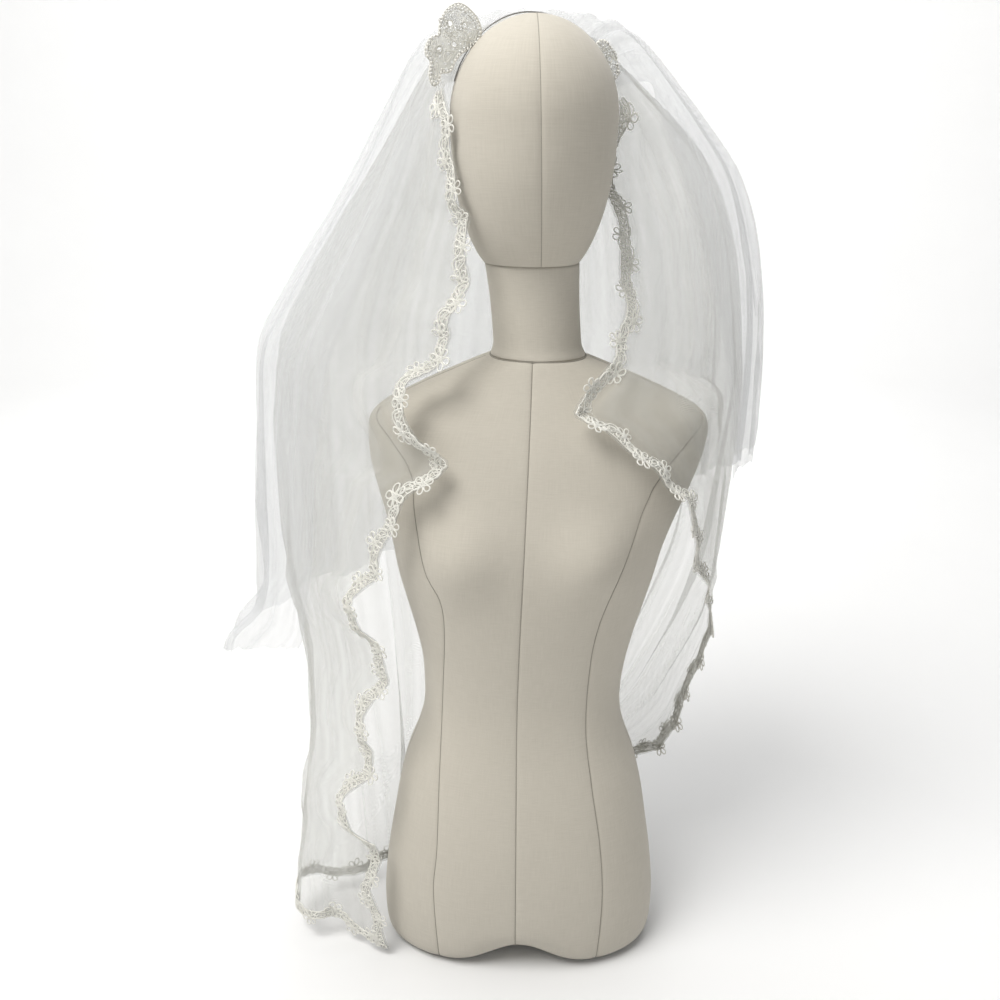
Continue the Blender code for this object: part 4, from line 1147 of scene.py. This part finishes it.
def lace_edging(name, edge, tree, shapes, lace, net, seed):
    """One trim: flowers, scrolls and a chain of loops between two cords, bent onto the strip."""
    count = int(edge.length / FLOWER_STEP)
    step = edge.length / count
    links = int(edge.length / LINK_STEP)
    side = [(-1) ** k for k in range(count)]
    # for each shape, its places along, in from the edge and off the cloth, with its lean
    rows = {
        "flower": [(step * (k + 0.5), FLOWER_SIDE * side[k], 0.6, 0.0) for k in range(count)],
        "leaf": [(step * k, 1.6 * side[k], 0.3, 0.45 * side[k]) for k in range(1, count)],
        "link": [(edge.length * (k + 0.5) / links, 2.2 * (-1) ** k, 0.0, 0.0) for k in range(links)],
    }
    flat = []
    for k, (kind, spots) in enumerate(rows.items()):
        places = np.array(spots)[:, :3] + [0, EDGING_MIDDLE, 0]
        along = [(math.cos(spot[3]), math.sin(spot[3]), 0) for spot in spots]
        sown = sites(name + kind, places, along, [(0, 0, 1)] * len(spots))
        flat.append(tree.grow(
            name + "_" + kind, sown, Shape=shapes[kind], Turn=math.radians(20), Smallest=0.92, Largest=1.12,
            Seed=seed + k, Material=lace,
        ))
    run = np.arange(0.5, edge.length - 0.5, 2.5)
    wave = np.sin(run / step * np.pi)
    lines = [
        np.stack([run, EDGING_MIDDLE + side * EDGING_HALF + swing * wave, 0 * run], -1)
        for side, swing in ((-1, 0.9), (1, 1.5))
    ]
    flat.append(piece(name + "_cords", *together([cord(line, CORD, False, sides=4) for line in lines]), lace))
    ribbon = np.stack(lines, 1) - [0, 0, 0.3]
    sheet = shell(name + "_net", ribbon, 0.25, net, np.zeros((len(run), 2, 2)))
    trims = joined(name, flat), sheet
    for trim in trims:
        where = edge.bend(points_of(trim.data) + [0, 0, LACE_LIFT + CORD])
        trim.data.vertices.foreach_set("co", (where * MM).ravel())
        trim.data.update()
    return trims


def edges_of(grid):
    """The left, hem and right edges of the long tier's grid, from the crest on, and points inside them."""
    first = TOP_ROWS // 2
    return {
        "left": (grid[first:, 0], grid[first:, STRIP_COLUMNS]),
        "hem": (grid[-1, 2:-2], grid[-4, 2:-2]),
        "right": (grid[first:, -1], grid[first:, -1 - STRIP_COLUMNS]),
    }


# ---------------------------------------------------------------- headpiece
def standing(spots, off, shift):
    """Points of a motif's plane: spots give out along the band and height; `off` is forward."""
    spots = np.asarray(spots, float)
    ahead = -(BAND_WIRE + SEAM_GAP + MOTIF_THICK / 2) - off
    return spots[:, :1] * BAND_ALONG + ahead * BAND_BACKWARD + spots[:, 1:] * [0, 0, 1] + [0, shift, 0]


def wire_band(metal):
    """The band: a flattened wire that stands a little higher over the crown."""
    angles = np.linspace(BAND_LEFT, BAND_RIGHT, 121)
    middle = band_points(angles, BAND_WIRE + SEAM_GAP + 0.1)
    middle[:, 2] += 1.6 * np.cos(angles) ** 2
    out = unit(middle - np.array([0, 0, HEAD_MID]))
    return piece("wire_band", *cord(middle, 0.95, False, up=out, sides=10, high=0.7), metal)


def closed_curve(spots, step):
    """A smooth closed line through spots, a point every `step`."""
    line = np.array(spots + spots[:1], float)
    walk = walked(line)
    marks = np.linspace(0, walk[-1], max(int(walk[-1] / step), 6) + 1)[:-1]
    around = np.vstack([line[-2:-1], line, line[1:2]])
    knots = np.concatenate([[walk[-2] - walk[-1]], walk, [walk[-1] + walk[1]]])
    return through(knots, around[:, None, :], marks)


def inside(loop, spots):
    """Which spots lie inside a closed line."""
    x, y = np.asarray(spots, float).T
    hit = np.zeros(len(x), bool)
    for (ax, ay), (bx, by) in zip(loop, np.roll(loop, -1, 0)):
        crosses = (ay > y) != (by > y)
        rise = by - ay if by != ay else 1e-9
        hit ^= crosses & (x < (bx - ax) * (y - ay) / rise + ax)
    return hit


def lace_plate(outline, eyes, shift):
    """The motif's net ground, with its eyes cut through, as a thin closed plate."""
    bm = bmesh.new()
    for loop in [closed_curve(outline, 2.5)] + [closed_curve(eye_ring(eye), 1.4) for eye in eyes]:
        verts = [bm.verts.new(point) for point in standing(loop, -PLATE_THICK / 2, shift)]
        for a, b in zip(verts, verts[1:] + verts[:1]):
            bm.edges.new((a, b))
    bmesh.ops.triangle_fill(bm, use_beauty=True, edges=bm.edges[:])
    front = bmesh.ops.extrude_face_region(bm, geom=bm.faces[:])
    moved = [v for v in front["geom"] if isinstance(v, bmesh.types.BMVert)]
    bmesh.ops.translate(bm, verts=moved, vec=-BAND_BACKWARD * PLATE_THICK)
    bmesh.ops.recalc_face_normals(bm, faces=bm.faces[:])
    return taken(bm)


def eye_ring(eye):
    return (np.array(eye) + circle(0.9 * EYE_RADIUS, 0, 8)[:, :2]).tolist()


def standing_lace(name, motif, tree, shapes, finishes):
    """A beaded motif: net ground, corded edge, lace flowers, and pearls, beads and sequins on its front."""
    lace, net, pearl, crystal = finishes
    outline, eyes, shift, seed = (motif[key] for key in ("outline", "eyes", "shift", "seed"))
    edge = closed_curve(outline, 1.6)
    middle = edge.mean(0)
    lines = [(edge, 0.35, 0.75), (middle + (edge - middle) * 0.86, 0.45, 0.5)]
    lines += [(eye + (closed_curve(eye_ring(eye), 1.0) - eye) * 1.25, 0.6, 0.6) for eye in np.array(eyes)]
    cords = [cord(standing(line, off, shift), radius, True, up=(0, 1, 0.01)) for line, off, radius in lines]
    made = [
        piece(name + "_net", *lace_plate(outline, eyes, shift), net),
        piece(name + "_cords", *together(cords), lace),
    ]
    chance = np.random.default_rng(seed)
    tries = chance.uniform(edge.min(0), edge.max(0), (MOTIF_TRIES, 2))
    kept = []
    for spot in tries[inside(middle + (edge - middle) * 0.9, tries)]:
        tight = 1.9 if spot[1] > motif["dense_above"] else 4.6
        clear = all(math.dist(spot, eye) > EYE_RADIUS + 1.2 for eye in eyes)
        if clear and all(math.dist(spot, other) > tight for other in kept):
            kept.append(spot)
    rim = middle + (closed_curve(outline, 3.3) - middle) * 0.95
    sewn = (
        # what it is, its shape, its places, how far forward, smallest and largest size, and its finish
        ("_flowers", "flower", motif["flowers"], 1.2, 0.6, 0.75, lace),
        ("_scrolls", "leaf", motif["scrolls"], 1.0, 0.6, 0.8, lace),
        ("_pearls", "bead", rim, 1.2, 0.85, 1.2, pearl),
        ("_crystals", "bead", kept[::2], 1.3, 0.7, 1.0, crystal),
        ("_sequins", "sequin", kept[1::4], 1.0, 0.8, 1.1, crystal),
        ("_seed_pearls", "bead", kept[3::4], 1.3, 0.5, 0.8, pearl),
    )
    for k, (kind, shape, spots, off, least, most, finish) in enumerate(sewn):
        ways = [tuple(BAND_ALONG)] * len(spots), [tuple(-BAND_BACKWARD)] * len(spots)
        made.append(tree.grow(
            name + kind, sites(name + kind, standing(spots, off, shift), *ways), Shape=shapes[shape],
            Turn=math.pi, Smallest=least, Largest=most, Seed=seed + k, Material=finish,
        ))
    return made


def bead_shapes(lace):
    """The shapes that are sewn on: a faceted bead and a cupped sequin, a millimetre in radius."""
    bm = bmesh.new()
    bmesh.ops.create_icosphere(bm, subdivisions=2, radius=1.05)
    rings = [circle(*ring, 10) for ring in ((0.35, 0.10), (1.35, 0.42), (1.42, 0.30), (0.35, -0.04))]
    index = np.arange(40).reshape(4, 10)[[0, 1, 2, 3, 0]]
    cup = quads(index, np.roll(index, -1, 1), reverse=True).tolist()
    return {"bead": piece("bead", *taken(bm), lace), "sequin": piece("sequin", np.vstack(rings), cup, lace)}


# ---------------------------------------------------------------- light, camera and ground
def lamp(name, place, aim, size, power, colour):
    light = bpy.data.lights.new(name, "AREA")
    light.shape, light.size, light.energy, light.color = "DISK", size, power, colour
    made = put(name, light)
    made.location = place
    made.rotation_euler = (Vector(aim) - Vector(place)).to_track_quat("-Z", "Y").to_euler()


def ground():
    """A pale floor that rounds up into a pale wall on every side."""
    bend = np.radians(np.arange(0, 91, 10))
    reach = np.concatenate([[0.6, 1.5, 2.4], FLOOR + BEND_WIDE * np.sin(bend), [WALL_AT]]) / MM
    height = np.concatenate([[0, 0, 0], BEND_WIDE - BEND_WIDE * np.cos(bend), [WALL_TOP]]) / MM
    rings = [circle(far, up, 64) for far, up in zip(reach, height)]
    index = np.arange(len(rings) * 64).reshape(-1, 64)
    faces = quads(index, np.roll(index, -1, 1), reverse=True).tolist()
    paper = speckled("studio_paper", 3.0, (0.87, 0.87, 0.865), (0.89, 0.89, 0.885),
                     Roughness=0.9, Specular_IOR_Level=0.1)
    piece("studio_ground", np.vstack(rings), [index[0].tolist(), *faces], paper.material)


def camera():
    data = bpy.data.cameras.new("camera")
    data.lens, data.sensor_width = LENS, LENS
    made = put("camera", data)
    made.matrix_world = (
        Matrix.Translation(CAMERA_AT)
        @ Matrix.Rotation(CAMERA_TILT, 4, "X") @ Matrix.Rotation(CAMERA_TURN, 4, "Z")
    )
    bpy.context.scene.camera = made


def hem_lift(across, z):
    """How far a row of the long tier is lifted where its hem is caught up."""
    knots, rises = rising(HEM_LIFTS)
    rise = through(knots, rises[:, None, :], across)[:, 0]
    return rise * (1 - smoothstep(*LIFT_FADE, z))


def long_height(across, share):
    z = LONG_ROWS[1] + (LONG_ROWS[-1] - LONG_ROWS[1]) * share
    return z + hem_lift(across, z)


def plain_height(across, share):
    share = (1 + share * (PLAIN_ROW_COUNT - 1)) / PLAIN_ROW_COUNT
    raw = 1.5 * np.sin(233 * across) + 1.1 * np.sin(521 * across + 2 * np.sin(37 * across))
    return PLAIN_TOP + (np.interp(across, KNOTS, PLAIN_HEM) - PLAIN_TOP) * share + raw * share**6


def ridden(made, node=None):
    """Puts a piece on the frame's one body, in place of the node that it draws."""
    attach(made, "root")
    if node:
        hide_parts(node)


def tiers():
    """Both tiers of tulle; gives the long one's grid of points, which its edging is sewn to."""
    fall = LONG_ROWS[1] - LONG_ROWS[-1]
    last = len(LONG_ROWS)
    marks = [2 + (LONG_ROWS[1] - z) / fall for z in LONG_ROWS[1:]]
    long_drop = [0, 1, *marks], [k / last for k in range(last + 1)]
    long_tier = Tier(LONG_PLANS, LONG_CREST, LONG_LEFT_EDGE, LONG_RIGHT_EDGE, LONG_LIFT, long_height,
                     (LONG_ROWS[1] - LONG_ROWS[2]) / fall, LONG_CREASES, long_drop)
    last = PLAIN_ROW_COUNT + 1
    plain_tier = Tier(PLAIN_PLANS, PLAIN_CREST, PLAIN_LEFT_EDGE, PLAIN_RIGHT_EDGE, PLAIN_LIFT, plain_height,
                      1 / (PLAIN_ROW_COUNT - 1), PLAIN_CREASES, ([0, 1, 2, 3], [0, 1 / last, 2 / last, 1]))
    top = np.linspace(0, 2, TOP_ROWS + 1)[:-1]
    grids = []
    for name, tier in (("long", long_tier), ("plain", plain_tier)):
        rows, count, *tulle = TULLES[name]
        grid, uv, cover = draped(tier, np.concatenate([top, np.linspace(2, 3, rows)]), count)
        # each tier's colours come from TULLES: painted shade in the long tier's, painted light in the plain
        # tier's
        veil = shell(name + "_veil", grid, NET, tulle_finish(name + "_tulle", *tulle), uv)
        layer = veil.data.attributes.new("cover", "FLOAT", "POINT")
        layer.data.foreach_set("value", np.tile(cover.ravel(), 2).astype(np.float32))
        ridden(veil, name + "_tier")
        grids.append(grid)
    return grids[0]


def main():
    lace, linen = lace_finish(), linen_finish()
    thread = speckled("seam_thread", 500.0, (0.27, 0.25, 0.21), (0.37, 0.345, 0.295), Roughness=0.85).material
    metal = speckled("band_wire", 700.0, (0.24, 0.235, 0.23), (0.36, 0.355, 0.35), (0.25, 0.42),
                     Metallic=1.0).material
    pearl = bead_finish("pearl", 300.0, (0.90, 0.88, 0.82), (0.97, 0.955, 0.91), (0.22, 0.34), 0.6, 0.12)
    crystal = bead_finish("crystal_bead", 900.0, (0.84, 0.85, 0.84), (0.98, 0.98, 0.97), (0.05, 0.25),
                          0.8, 0.05)
    net, motif_net = net_finish("lace_net", 0.2, 0.42), net_finish("motif_net", 0.42, 0.62)

    for node, cover in (("form_torso", torso_cover), ("form_neck", neck_cover), ("form_head", head_cover)):
        ridden(cover(linen), node)
    for seam in (neck_seam(thread), seam_threads(thread)):
        ridden(seam)

    grid = tiers()
    index = np.arange(grid[..., 0].size).reshape(grid.shape[:2])
    faces = quads(index[:, :-1], index[:, 1:]).tolist()
    surface = BVHTree.FromPolygons([Vector(p) for p in grid.reshape(-1, 3)], faces)
    tree = sewn_on_tree()
    shapes = {"flower": flower_shape(lace), "leaf": leaf_shape(lace), "link": link_shape(lace)}
    for k, (side, (path, within)) in enumerate(edges_of(grid).items()):
        strip = Edge(path, within, surface)
        for made in lace_edging("edging_" + side, strip, tree, shapes, lace, net, SEED + 10 * k):
            ridden(made, "trim_" + side)
    shapes.update(bead_shapes(lace))
    for side, motif in MOTIFS.items():
        for made in standing_lace("lace_" + side, motif, tree, shapes, (lace, motif_net, pearl, crystal)):
            ridden(made, "motif_" + side)
    for shape in shapes.values():
        bpy.data.objects.remove(shape)
    ridden(wire_band(metal), "headband")

    ground()
    camera()
    for row in LAMPS:
        lamp(*row)
    world = bpy.data.worlds.new("studio")
    world.use_nodes = True
    sky = world.node_tree.nodes["Background"].inputs
    sky["Color"].default_value = SKY_COLOUR
    sky["Strength"].default_value = SKY_STRENGTH
    scene = bpy.context.scene
    scene.world = world
    scene.view_settings.view_transform = "Standard"
    scene.cycles.transparent_max_bounces = 20
    scene.cycles.max_bounces = 4
    scene.cycles.diffuse_bounces = 2


main()
